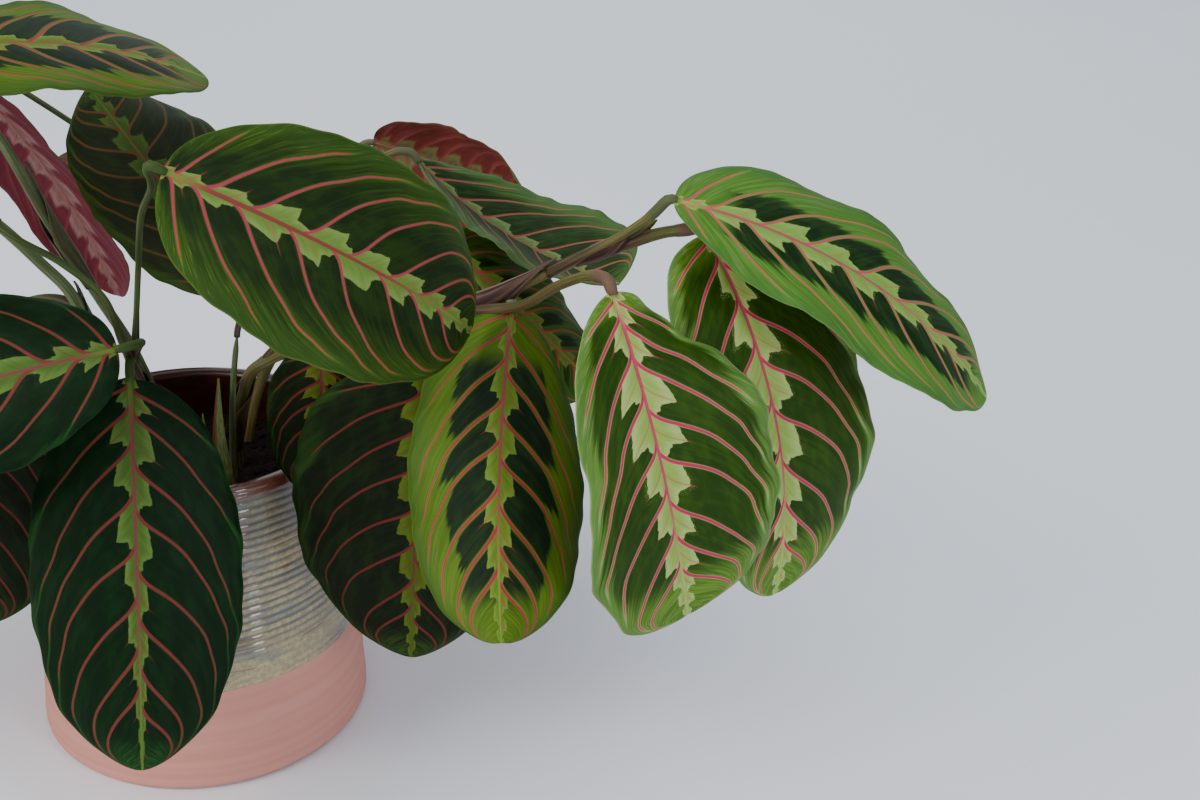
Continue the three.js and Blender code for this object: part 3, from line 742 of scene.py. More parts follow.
        # Some teeth have a short vein at their peak.
        gap = node("Math", self.fraction, self.peak, **MINUS)
        gap = node("Math", gap, **ABSOLUTE)
        near = node("MapRange", node("Math", gap, self.pitch, **TIMES), 0.3, 0.08, 0.0, 0.6)
        length = node("Math", self.minor_draw, 0.9, 0.3, **TIMES_PLUS)
        end = node("Math", band_edge, length, **TIMES)
        short = node("MapRange", node("Math", self.across, end, **MINUS), 1.5, -1.0)
        chosen = node("MapRange", self.minor_draw, 0.35, 0.6)
        minor = node("Math", node("Math", near, short, **TIMES), chosen, **TIMES)
        colour = node("Mix", minor, colour, tone.vein[0], **COLOUR)

        # The side veins.
        far = node("MapRange", self.reach, 0.5, 0.95, **SMOOTH)
        vein = node("Mix", far, *tone.vein, **COLOUR)
        core = node("MapRange", line, 0.45, 1.0, **SMOOTH)
        colour = node("Mix", core, colour, vein, **COLOUR)

        # The midrib, flushed with red along its middle.
        left = node("Math", node("Math", 1.0, self.along, **MINUS), 0.7, operation="POWER")
        rib_half = node("Math", left, 0.5, 0.16, **TIMES_PLUS)
        begun = node("MapRange", self.along, 0.0, 0.12, **SMOOTH)
        ended = node("MapRange", self.along, 0.92, 0.55, **SMOOTH)
        flushed = node("Math", begun, ended, **TIMES)
        rib = node("Mix", flushed, tone.midrib[1], tone.midrib[0], **COLOUR)
        beside = node("Math", self.across, rib_half, **MINUS)
        on_rib = node("MapRange", beside, 0.14, -0.16, **SMOOTH)
        colour = node("Mix", on_rib, colour, rib, **COLOUR)

        # The thin, pale rim.
        rim = node("MapRange", self.reach, 0.975, 1.0, 0.0, 0.4, **SMOOTH)
        return node("Mix", rim, colour, tone.halo, **COLOUR)

    def build(self) -> Material:
        """Joins the markings, the silky relief and the light that comes through.

        Returns:
            The material.
        """
        node, tone = self.graph.node, self.tone
        edge = self.band_edge()
        inside = node("Math", self.across, edge, **MINUS)
        band = node("MapRange", inside, tone.band_soft, -tone.band_soft, **SMOOTH)

        # A side vein is about half as wide at the blade's edge, where it also fades.
        loss = -0.45 * tone.vein_width
        narrow = node("Math", self.reach, loss, tone.vein_width, **TIMES_PLUS)
        beside = node("Math", self.vein_distance, narrow, **MINUS)
        fade = node("MapRange", self.reach, 0.96, 0.82, **SMOOTH)
        line = node("MapRange", beside, VEIN_EDGE, -VEIN_EDGE)
        line = node("Math", line, fade, **TIMES)
        colour = self.veined(self.tissue(self.darkness(), band, edge), line, edge)

        # The relief: silky fibres, with the veins sunk between them.
        weave = node("Math", self.fibre, self.silk, **PLUS)
        height = node("Math", line, -1.0, weave, **TIMES_PLUS)
        rough = node("Math", self.silk, 0.1, tone.roughness - 0.05, **TIMES_PLUS)
        normal = node("Bump", named={"Height": height, "Distance": self.RELIEF * MM})
        surface = node("BsdfPrincipled", named={
            "Base Color": colour,
            "Roughness": rough,
            "Specular IOR Level": 0.1,
            "Normal": normal,
        })
        through = node("BsdfTranslucent", colour)
        return self.graph.finish(node("MixShader", self.glow, surface, through))


@dataclass(frozen=True)
class StemFinish:
    """Living stem skin: smooth and waxy, which gives a soft gloss over streaks along its length.

    The sheaths are dry and papery with a pale middle rib. The sizes are millimetres, with the width
    and length of a streak.
    """

    name: str
    green: tuple[str, str]
    flush: str
    fleck: str = "5a3a2c"
    sheath: tuple[str, str, str] = ("33201f", "5c4638", "8f8068")
    joint: tuple[str, str, str] = ("3c5022", "695241", "8c8e80")
    girth: float = 11.25
    streak: Pair = (0.75, 22.2)
    blush_size: float = 20.0
    fleck_size: float = 1.11
    relief: float = 0.1
    sheath_rib: float = 0.42

    def build(self) -> Material:
        """Makes the skin of stems, stalks and sheaths, with the thicker joints below the leaves.

        Returns:
            The material.
        """
        g = Graph(self.name)
        node = g.node
        skin, part, joint = [node("UVMap", uv_map=name) for name in ("skin", "part", "joint")]
        turn, run = node("SeparateXYZ", skin), node("SeparateXYZ", skin, output=1)
        place = g.place()
        width, length = self.streak
        around = node("Math", turn, self.girth / width, **TIMES)
        upward = node("Math", run, RUN_UNIT / length, **TIMES)
        streak = node("TexNoise", node("CombineXYZ", around, upward, 0.0), 1.0, 2.0, 0.5)
        lit = node("MapRange", streak, 0.35, 0.7, **SMOOTH)
        green = node("Mix", lit, *self.green, **COLOUR)
        blush = node("TexNoise", place, 1 / self.blush_size, 2.0)
        blush = node("MapRange", blush, 0.42, 0.62, 0.0, 0.5)
        green = node("Mix", blush, green, self.flush, **COLOUR)
        fleck = node("TexNoise", place, 1 / self.fleck_size, 2.0)
        fleck = node("MapRange", fleck, 0.6, 0.72, 0.0, 0.35)
        green = node("Mix", fleck, green, self.fleck, **COLOUR)

        # The brown sheaths, with the pale rib along their middle.
        grain = node("MapRange", streak, 0.4, 0.6, **SMOOTH)
        brown = node("Mix", grain, self.sheath[0], self.sheath[1], **COLOUR)
        middle = node("Math", turn, self.sheath_rib, **MINUS)
        middle = node("Math", middle, **ABSOLUTE)
        stripe = node("MapRange", middle, 0.07, 0.0, 0.0, 0.7, **SMOOTH)
        brown = node("Mix", stripe, brown, self.sheath[2], **COLOUR)
        colour = node("Mix", node("SeparateXYZ", part), green, brown, **COLOUR)

        # The thick joints, from green to pink and pale.
        pink, pale = node("SeparateXYZ", joint), node("SeparateXYZ", joint, output=1)
        swollen = node("Mix", pink, self.joint[0], self.joint[1], **COLOUR)
        swollen = node("Mix", pale, swollen, self.joint[2], **COLOUR)
        colour = node("Mix", node("SeparateXYZ", part, output=1), colour, swollen, **COLOUR)
        surface = node("BsdfPrincipled", named={
            "Base Color": colour,
            "Roughness": 0.5,
            "Specular IOR Level": 0.15,
            "Normal": node("Bump", named={"Height": streak, "Distance": self.relief * MM}),
        })
        return g.finish(surface)


STEM_FINISHES: dict[StemTone, StemFinish] = {
    StemTone.OLIVE: StemFinish("olive_stem_skin", ("4d5528", "7a7444"), "6b4e36"),
    StemTone.DARK: StemFinish(
        "dark_stem_skin", ("2b3d18", "4a5f2c"), "3c3a1e", joint=("354a1d", "5c4028", "5f7048")),
    StemTone.PALE: StemFinish("pale_stem_skin", ("4a6138", "788a62"), "5a5a3c"),
}


@dataclass(frozen=True)
class RolledLeafFinish:
    """The back of a leaf that is still rolled: matt and ribbed, so that it looks soft and stringy.

    One edge is browned. The sizes are millimetres, with the width and length of a rib.
    """

    green: tuple[str, str] = ("5a6a34", "828e58")
    brown: str = "70402c"
    girth: float = 20.25
    rib: Pair = (0.75, 3.33)
    relief: float = 0.15

    def build(self) -> Material:
        """Makes the skin.

        Returns:
            The material.
        """
        g = Graph("rolled_leaf_skin")
        node = g.node
        skin = node("UVMap", uv_map="skin")
        turn, run = node("SeparateXYZ", skin), node("SeparateXYZ", skin, output=1)
        width, length = self.rib
        around = node("Math", turn, self.girth / width, **TIMES)
        upward = node("Math", run, RUN_UNIT / length, **TIMES)
        streak = node("TexNoise", node("CombineXYZ", around, upward, 0.0), 1.0, 3.0, 0.6)
        lit = node("MapRange", streak, 0.35, 0.7, **SMOOTH)
        green = node("Mix", lit, *self.green, **COLOUR)
        away = node("Math", node("Math", turn, ROLLED_SEAM, **MINUS), **ABSOLUTE)
        edge = node("MapRange", away, 0.16, 0.04, **SMOOTH)
        colour = node("Mix", edge, green, self.brown, **COLOUR)
        surface = node("BsdfPrincipled", named={
            "Base Color": colour,
            "Roughness": 0.55,
            "Specular IOR Level": 0.2,
            "Normal": node("Bump", named={"Height": streak, "Distance": self.relief * MM}),
        })
        return g.finish(surface)


@dataclass(frozen=True)
class StonewareFinish:
    """Thrown stoneware, smooth bare clay below a brushed glaze.

    The clay looks dry and chalky. The glaze is glossy and pooled in the ribs, which gives it dark
    bands and a broken gleam. Grit and mottle, in millimetres, are drawn coarser than real, to show.
    """

    pot_height: float
    glaze_edge: float
    rib_pitch: float
    radius: float = 55.0
    grit: float = 0.385
    mottle: float = 1.43
    wobble: float = 12.2
    clay_ring: Pair = (137.5, 3.33)
    slate_heights: Pair = (44.0, 62.0)
    # Heights, in millimetres, over which the painted shade deepens towards the mouth.
    painted_shade_heights: Pair = (76.0, 106.0)
    rim_depths: Pair = (4.0, 2.4)
    grit_relief: float = 0.04
    rib_relief: float = 0.13
    clay: tuple[str, str, str] = ("c98a7b", "ce9184", "a46c5f")
    cream: tuple[str, str, str] = ("b8a878", "978c66", "75705c")
    slate: tuple[str, str] = ("454b50", "61676a")
    iron: str = "6b4332"
    # Painted shade: the darker colour of the glaze near the mouth, where the leaves shade the pot.
    shade: str = "3d392f"
    rim: tuple[str, str] = ("4a2416", "74422a")

    def clay_colour(self, g: Graph, z: Socket, turn: Socket, grain: Socket) -> Socket:
        """Colours the bare clay, with faint throwing rings.

        Args:
            g: The material's graph.
            z: The height, in millimetres.
            turn: The angle round the pot.
            grain: A fine noise.

        Returns:
            The colour.
        """
        node = g.node
        width, height = self.clay_ring
        around = node("Math", turn, self.radius / width, **TIMES)
        upward = node("Math", z, 1 / height, **TIMES)
        rings = node("TexNoise", node("CombineXYZ", around, upward, 2.0), 1.0, 2.0, 0.5)
        rings = node("MapRange", rings, 0.35, 0.65, **SMOOTH)
        clay = node("Mix", rings, self.clay[0], self.clay[1], **COLOUR)
        specks = node("MapRange", grain, 0.6, 0.8, 0.0, 0.15)
        return node("Mix", specks, clay, self.clay[2], **COLOUR)

    def glaze_colour(self, g: Graph, place: Socket, z: Socket, turn: Socket) -> Socket:
        """Colours the glaze: cream with slate bands in its ribs, brown patches, painted shade towards the
        mouth and a dark rim.

        Args:
            g: The material's graph.
            place: The place, in millimetres.
            z: The height, in millimetres.
            turn: The angle round the pot.

        Returns:
            The colour.
        """
        node = g.node
        noises = []
        for width, height, layer, detail in (
            (25.0, 1.82, 0.0, 4.0), (36.7, 20.0, 1.0, 3.0), (50.0, 2.7, 5.0, 2.0), (21.2, 8.33, 8.0, 3.0),
        ):
            around = node("Math", turn, self.radius / width, **TIMES)
            upward = node("Math", z, 1 / height, **TIMES)
            noises.append(node("TexNoise", node("CombineXYZ", around, upward, layer), 1.0, detail, 0.6))
        streaks, broad, strength, cloud = noises
        mottle = node("TexNoise", place, 1 / self.mottle, 3.0, 0.65)
        lighter = node("MapRange", mottle, 0.38, 0.62, **SMOOTH)
        cream = node("Mix", lighter, self.cream[0], self.cream[1], **COLOUR)
        dull = node("MapRange", broad, 0.42, 0.68, 0.0, 0.6, **SMOOTH)
        cream = node("Mix", dull, cream, self.cream[2], **COLOUR)

        # Slate bands that waver along the ribs and grow stronger and weaker round the pot.
        waver = node("Math", broad, 1.5, z, **TIMES_PLUS)
        wave = node("Math", waver, 2 * math.pi / self.rib_pitch, **TIMES)
        wide = node("Math", strength, 3.2, -1.6, **TIMES_PLUS)
        band = node("Math", node("Math", wave, operation="SINE"), wide, **PLUS)
        band = node("MapRange", band, -0.3, 0.9, **SMOOTH)
        ribbed = node("MapRange", z, *self.slate_heights, 0.15, 0.85, **SMOOTH)
        band = node("Math", band, ribbed, **TIMES)
        glaze = node("Mix", band, cream, self.slate[0], **COLOUR)

        # Clouds of slate, rusty streaks, and painted shade: a darker glaze towards the mouth, where the
        # leaves shade the pot.
        drift = node("MapRange", cloud, 0.5, 0.66, 0.0, 0.55, **SMOOTH)
        glaze = node("Mix", drift, glaze, self.slate[1], **COLOUR)
        rusty = node("Math", broad, 0.6, streaks, **TIMES_PLUS)
        rusty = node("MapRange", rusty, 0.9, 0.98, 0.0, 0.75, **SMOOTH)
        glaze = node("Mix", rusty, glaze, self.iron, **COLOUR)
        painted_shade_mask = node("MapRange", z, *self.painted_shade_heights, 0.0, 0.6, **SMOOTH)
        glaze = node("Mix", painted_shade_mask, glaze, self.shade, **COLOUR)

        # The worn rim, where the brown body shows through.
        uneven = node("Math", mottle, 1.6, z, **TIMES_PLUS)
        low, high = [self.pot_height - depth for depth in self.rim_depths]
        rim = node("MapRange", uneven, low, high, **SMOOTH)
        worn = node("Mix", mottle, *self.rim, **COLOUR)
        return node("Mix", rim, glaze, worn, **COLOUR)

    def build(self) -> Material:
        """Joins the clay and the glaze along their uneven edge.

        Returns:
            The material.
        """
        g = Graph("fired_clay_and_glaze")
        node = g.node
        place = g.place()
        x, y, z = [node("SeparateXYZ", place, output=axis) for axis in range(3)]
        turn = node("Math", y, x, operation="ARCTAN2")
        grain = node("TexNoise", place, 1 / self.grit, 3.0, 0.7)
        around = node("Math", turn, self.radius / self.wobble, **TIMES)
        wobble = node("TexNoise", node("CombineXYZ", around), 1.0, 2.0)
        edge = node("Math", wobble, 1.4, self.glaze_edge - 0.7, **TIMES_PLUS)
        glazed = node("MapRange", node("Math", z, edge, **MINUS), -0.15, 0.15)
        clay = self.clay_colour(g, z, turn, grain)
        glaze = self.glaze_colour(g, place, z, turn)
        wave = node("Math", z, 2 * math.pi / self.rib_pitch, -math.pi / 2, **TIMES_PLUS)
        ripple = node("Math", wave, operation="SINE")
        surface = node("BsdfPrincipled", named={
            "Base Color": node("Mix", glazed, clay, glaze, **COLOUR),
            "Roughness": node("MapRange", glazed, 0.0, 1.0, 0.85, 0.35),
            "Coat Weight": node("Math", glazed, 0.7, **TIMES),
            "Coat Roughness": 0.07,
            "Coat Normal": node("Bump", named={"Height": ripple, "Distance": self.rib_relief * MM}),
            "Normal": node("Bump", named={"Height": grain, "Distance": self.grit_relief * MM}),
        })
        return g.finish(surface)


@dataclass(frozen=True)
class IronGlazeFinish:
    """Iron glaze, poured inside the pot: dark red-brown and glossy, so that it looks wet."""

    dark: str = "2a120d"
    red: str = "421e15"
    rust: str = "502718"
    ring: float = 2.0
    mottle: float = 6.67
    relief: float = 0.2

    def build(self) -> Material:
        """Makes the glaze.

        Returns:
            The material.
        """
        g = Graph("iron_red_glaze")
        node = g.node
        place = g.place()
        height = node("Math", node("SeparateXYZ", place, output=2), 1 / self.ring, **TIMES)
        rings = node("TexNoise", node("CombineXYZ", 0.0, 0.0, height), 1.0, 3.0, 0.6)
        mottle = node("MapRange", node("TexNoise", place, 1 / self.mottle, 3.0, 0.6), 0.35, 0.7)
        colour = node("Mix", mottle, self.dark, self.red, **COLOUR)
        rusty = node("MapRange", rings, 0.45, 0.7, 0.0, 0.4)
        colour = node("Mix", rusty, colour, self.rust, **COLOUR)
        surface = node("BsdfPrincipled", named={
            "Base Color": colour,
            "Roughness": 0.3,
            "Coat Weight": 0.4,
            "Coat Roughness": 0.12,
            "Normal": node("Bump", named={"Height": rings, "Distance": self.relief * MM}),
        })
        return g.finish(surface)


@dataclass(frozen=True)
class SoilFinish:
    """Damp potting soil, loose and crumbly: matt and almost black, with a few pale fibres.

    The sizes are millimetres, with the length and width of a fibre. Grains and fibres are drawn
    about twice as coarse as real ones, to show.
    """

    dark: tuple[str, str] = ("15100d", "2b2019")
    crumb: str = "4b3829"
    fibre: str = "7a6248"
    crumb_size: float = 4.0
    grain_size: float = 0.625
    fibre_size: Pair = (4.165, 0.833)
    relief: float = 0.9

    def build(self) -> Material:
        """Makes the soil.

        Returns:
            The material.
        """
        g = Graph("potting_soil")
        node = g.node
        place = g.place()
        coarse = node("TexNoise", place, 1 / self.crumb_size, 5.0, 0.7)
        fine = node("TexNoise", place, 1 / self.grain_size, 4.0, 0.7)
        length, width = self.fibre_size
        stretched = node("VectorMath", place, (width / length, 1.0, 1.0), **TIMES)
        fibre = node("TexNoise", stretched, 1 / width, 3.0)
        lit = node("MapRange", coarse, 0.35, 0.7)
        colour = node("Mix", lit, *self.dark, **COLOUR)
        crumbly = node("MapRange", fine, 0.55, 0.75, 0.0, 0.5)
        colour = node("Mix", crumbly, colour, self.crumb, **COLOUR)
        stringy = node("MapRange", fibre, 0.68, 0.74, 0.0, 0.35)
        colour = node("Mix", stringy, colour, self.fibre, **COLOUR)
        height = node("Math", fine, 0.7, coarse, **TIMES_PLUS)
        surface = node("BsdfPrincipled", named={
            "Base Color": colour,
            "Roughness": 0.95,
            "Specular IOR Level": 0.2,
            "Normal": node("Bump", named={"Height": height, "Distance": self.relief * MM}),
        })
        return g.finish(surface)


@dataclass(frozen=True)
class PaperFinish:
    """The studio floor: a matt, pale sheet of seamless paper, which keeps the eye on the plant."""

    colour: str = "f2f8ff"

    def build(self) -> Material:
        """Makes the paper.

        Returns:
            The material.
        """
        g = Graph("pale_paper_floor")
        surface = g.node("BsdfPrincipled", named={"Base Color": self.colour, "Roughness": 0.7})
        return g.finish(surface)


# Mesh helpers


def make_object(name: str, points: Array, faces: list[list[int]]) -> Piece:
    """Makes a smooth-shaded mesh object at the origin from points in millimetres.

    Args:
        name: The object's name.
        points: The points, one row each.
        faces: The faces, as lists of point numbers.

    Returns:
        The new object.
    """
    mesh = bpy.data.meshes.new(name)
    mesh.from_pydata((points * MM).tolist(), [], faces)
    mesh.polygons.foreach_set("use_smooth", [True] * len(mesh.polygons))
    mesh.update()
    piece = bpy.data.objects.new(name, mesh)
    bpy.context.scene.collection.objects.link(piece)
    return piece


def set_uv(piece: Piece, name: str, values: Array) -> None:
    """Stores a UV map on a piece, with a value pair for each of its mesh's corners, in their order."""
    layer = piece.data.uv_layers.new(name=name)
    layer.data.foreach_set("uv", np.ascontiguousarray(values, dtype=np.float32).ravel())


def dress(piece: Piece, slot: str, *nodes: str) -> None:
    """Fixes a piece to the model's one body and hides the plain nodes it stands for.

    Args:
        piece: The object.
        slot: The record's material slot, which is not used.
        nodes: The plain nodes that it replaces.
    """
    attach(piece, "root")
    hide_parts(*nodes)
    LOG.info("%s: %d faces", piece.name, len(piece.data.polygons))


def smoothstep(value: float | Array, low: float, high: float) -> float | Array:
    """Gives the smooth step from 0 at low to 1 at high, for a number or an array."""
    share = np.clip((value - low) / (high - low), 0, 1)
    return share * share * (3 - 2 * share)


def unit(vectors: Array) -> Array:
    """Scales vectors, which lie along the last axis, to length 1."""
    lengths = np.linalg.norm(vectors, axis=-1, keepdims=True)
    return vectors / np.maximum(lengths, 1e-12)


def grid_cells(rows: int, columns: int) -> tuple[Array, Array]:
    """Lists the row and the column of each cell of a grid, row by row."""
    return np.divmod(np.arange(rows * columns), columns)


# Curves

SPLINE_STEPS = 24
BEZIER_STEPS = 60


def spline(points: Route, centripetal: bool) -> Array:
    """Follows a smooth curve through points, as the part's source does.

    Args:
        points: The points that the curve passes.
        centripetal: Whether the knots are spaced by the root of the distance, or evenly.

    Returns:
        Closely spaced points on the curve.
    """
    knots = np.array(points, float)
    knots = np.vstack([2 * knots[0] - knots[1], knots, 2 * knots[-1] - knots[-2]])
    share = np.linspace(0, 1, SPLINE_STEPS, endpoint=False)[:, None]
    pieces = []
    for first in range(1, len(knots) - 2):
        a, b, c, d = knots[first - 1:first + 3]
        if centripetal:
            gap_ab, gap_bc, gap_cd = [
                max(np.linalg.norm(q - p) ** 0.5, 1e-3) for p, q in ((a, b), (b, c), (c, d))
            ]
            leave = ((b - a) / gap_ab - (c - a) / (gap_ab + gap_bc) + (c - b) / gap_bc) * gap_bc
            arrive = ((c - b) / gap_bc - (d - b) / (gap_bc + gap_cd) + (d - c) / gap_cd) * gap_bc
        else:
            leave, arrive = (c - a) / 2, (d - b) / 2
        square, cube = share ** 2, share ** 3
        bend = 3 * (c - b) - 2 * leave - arrive
        twist = 2 * (b - c) + leave + arrive
        pieces.append(b + leave * share + bend * square + twist * cube)
    pieces.append(knots[-2:-1])
    return np.vstack(pieces)


def bezier(points: list[Array]) -> Array:
    """Follows a cubic Bezier curve.

    Args:
        points: Its four control points.

    Returns:
        Closely spaced points on the curve.
    """
    t = np.linspace(0, 1, BEZIER_STEPS)[:, None]
    a, b, c, d = points
    return (1 - t) ** 3 * a + 3 * (1 - t) ** 2 * t * b + 3 * (1 - t) * t ** 2 * c + t ** 3 * d


class Path:
    """A curve that can be read by its length."""

    def __init__(self, points: Array) -> None:
        """Measures the curve.

        Args:
            points: Closely spaced points on it.
        """
        self.points = points
        gaps = np.linalg.norm(np.diff(points, axis=0), axis=1)
        self.marks = np.concatenate([[0], np.cumsum(gaps)])
        self.length = float(self.marks[-1])

    def at(self, share: float | Array) -> Array:
        """Gives the point, or the points, at a share of the length from 0 to 1."""
        mark = np.asarray(share) * self.length
        return np.stack([np.interp(mark, self.marks, self.points[:, axis]) for axis in range(3)], -1)

    def direction(self, share: float) -> Array:
        """Gives the unit direction at a share of the length from 0 to 1."""
        return unit(self.at(min(1.0, share + 0.01)) - self.at(max(0.0, share - 0.01)))

    def spaced(self, spacing: float) -> Array:
        """Gives even distances along the whole curve, about the spacing apart."""
        return np.linspace(0, 1, max(4, int(self.length / spacing)) + 1) * self.length


def frames_along(points: Array) -> tuple[Array, Array]:
    """Carries two cross directions along a curve without twist.

    Args:
        points: Points on the curve.

    Returns:
        The two unit directions across the curve at each point.
    """
    along = unit(np.gradient(points, axis=0))
    start = np.array([0.0, 0.0, 1.0]) if abs(along[0][2]) < 0.9 else np.array([1.0, 0.0, 0.0])
    first = unit(start - along[0] * (start @ along[0]))
    sides = []
    for direction in along:
        first = unit(first - direction * (first @ direction))
        sides.append(first)
    firsts = np.array(sides)
    return firsts, np.cross(along, firsts)


@dataclass
class TubeMesh:
    """Collects round tubes into one mesh, with their UV maps.

    skin runs round the tube, in turns, and along it, in steps of RUN_UNIT. part holds the shares of
    sheath and of thick joint, and joint says how pink and how pale the thick joint is.
    """

    sides: int = 14
    points: list[Array] = field(default_factory=list)
    faces: list[list[int]] = field(default_factory=list)
    skin: list[Array] = field(default_factory=list)
    part: list[Array] = field(default_factory=list)
    joint: list[Array] = field(default_factory=list)

    def add(self, path: Path, distance: Array, radii: Array, shares: Array,
            seam: float = 0.0, joint: Pair = PLAIN_JOINT) -> None:
        """Adds a closed tube along a path.

        Args:
            path: The path.
            distance: Where its rings are along the path.
            radii: The radius of each ring.
            shares: The shares of sheath and of thick joint at each ring.
            seam: How far the radius grows once round, for a rolled leaf.
            joint: How pink and how pale the thick joint is.
        """
        last = len(distance) - 1
        centres = path.at(distance / path.length)
        firsts, seconds = frames_along(centres)
        turn = np.arange(self.sides) / self.sides
        swell = (1 + seam * (turn - 0.5))[None, :, None]
        ring = np.cos(2 * np.pi * turn)[None, :, None] * swell * firsts[:, None]
        ring = ring + np.sin(2 * np.pi * turn)[None, :, None] * swell * seconds[:, None]
        start = sum(len(tube) for tube in self.points)
        self.points.append((centres[:, None] + ring * radii[:, None, None]).reshape(-1, 3))

        row, side = grid_cells(last, self.sides)
        following = (side + 1) % self.sides
        near = start + row * self.sides
        far = near + self.sides
        walls = np.stack([near + side, near + following, far + following, far + side], -1)
        caps = [start + np.arange(self.sides)[::-1], start + last * self.sides + np.arange(self.sides)]
        self.faces += walls.tolist() + [cap.tolist() for cap in caps]
        left, right = side / self.sides, (side + 1) / self.sides
        low, high = distance[row] / RUN_UNIT, distance[row + 1] / RUN_UNIT
        self.skin.append(np.stack([left, low, right, low, right, high, left, high], -1).reshape(-1, 2))
        near_share, far_share = shares[row], shares[row + 1]
        self.part.append(np.stack([near_share, near_share, far_share, far_share], 1).reshape(-1, 2))
        for end in (0, last):
            self.skin.append(np.tile([0.5, distance[end] / RUN_UNIT], (self.sides, 1)))
            self.part.append(np.tile(shares[end], (self.sides, 1)))
        self.joint.append(np.tile(joint, (4 * len(walls) + 2 * self.sides, 1)))

    def build(self, name: str) -> Piece:
        """Makes the object.

        Args:
            name: The object's name.

        Returns:
            The object.
        """
        piece = make_object(name, np.vstack(self.points), self.faces)
        set_uv(piece, "skin", np.vstack(self.skin))
        set_uv(piece, "part", np.vstack(self.part))
        set_uv(piece, "joint", np.vstack(self.joint))
        return piece


# Leaves


def leaf_axes(aim: Triple) -> tuple[Array, Array, Array]:
    """Gives a leaf's own directions at its base.

    Args:
        aim: Compass, upward and roll angles in degrees.

    Returns:
        The unit directions to its side, along its midrib and up from its top face.
    """
    compass, upward, roll = np.radians(aim)
    flat = math.cos(upward)
    along = np.array([math.cos(compass) * flat, math.sin(compass) * flat, math.sin(upward)])
    level = np.array([math.sin(compass), -math.cos(compass), 0.0])
    above = np.cross(level, along)
    side = level * math.cos(roll) - above * math.sin(roll)
    up = above * math.cos(roll) + level * math.sin(roll)
    return side, along, up


def half_width(u: Array, egg: float | Array) -> Array:
    """Gives half the leaf's width as a share of its greatest.

    Args:
        u: Shares of the leaf's length.
        egg: How much the greatest width moves towards the tip.

    Returns:
        The half widths.
    """
    bulge = 2 * u ** (0.92 + egg) - 1
    oval = np.maximum(0, 1 - bulge * bulge) ** 0.46
    pinch = np.clip((u - 0.84) / 0.16, 0, 1)
    return oval * (1 - 0.25 * pinch * pinch)


def vein_phase(u: Array, reach: Array) -> Array:
    """Numbers the side veins over the blade: whole numbers lie on a vein.

    Each vein leaves the midrib at its origin and sweeps towards the tip, so the origin of the vein
    line through each point is found by halving an interval.

    Args:
        u: Shares of the leaf's length.
        reach: Shares of the way from the midrib to the edge.

    Returns:
        The vein numbers, with the fractions between them.
    """
    join = VEIN_JOIN[0] * np.exp(-reach / VEIN_JOIN[1])
    low, high = np.zeros_like(u), np.ones_like(u)
    for _ in range(VEIN_HALVINGS):
        middle = (low + high) / 2
        sweep = VEIN_SWEEP[0] + VEIN_SWEEP[1] * smoothstep(middle, 0.3, 0.8)
        sweep = sweep * (1 - np.exp(-middle / VEIN_SWEEP_START))
        straight = VEIN_STRAIGHT[0] + VEIN_STRAIGHT[1] * smoothstep(middle, 0.45, 0.8)
        lift = straight * reach + (1 - straight) * reach ** 3
        beyond = middle + sweep * (1 - middle) * lift - join > u
        high = np.where(beyond, middle, high)
        low = np.where(beyond, low, middle)
    return np.interp((low + high) / 2, VEIN_ORIGINS, VEIN_NUMBERS)


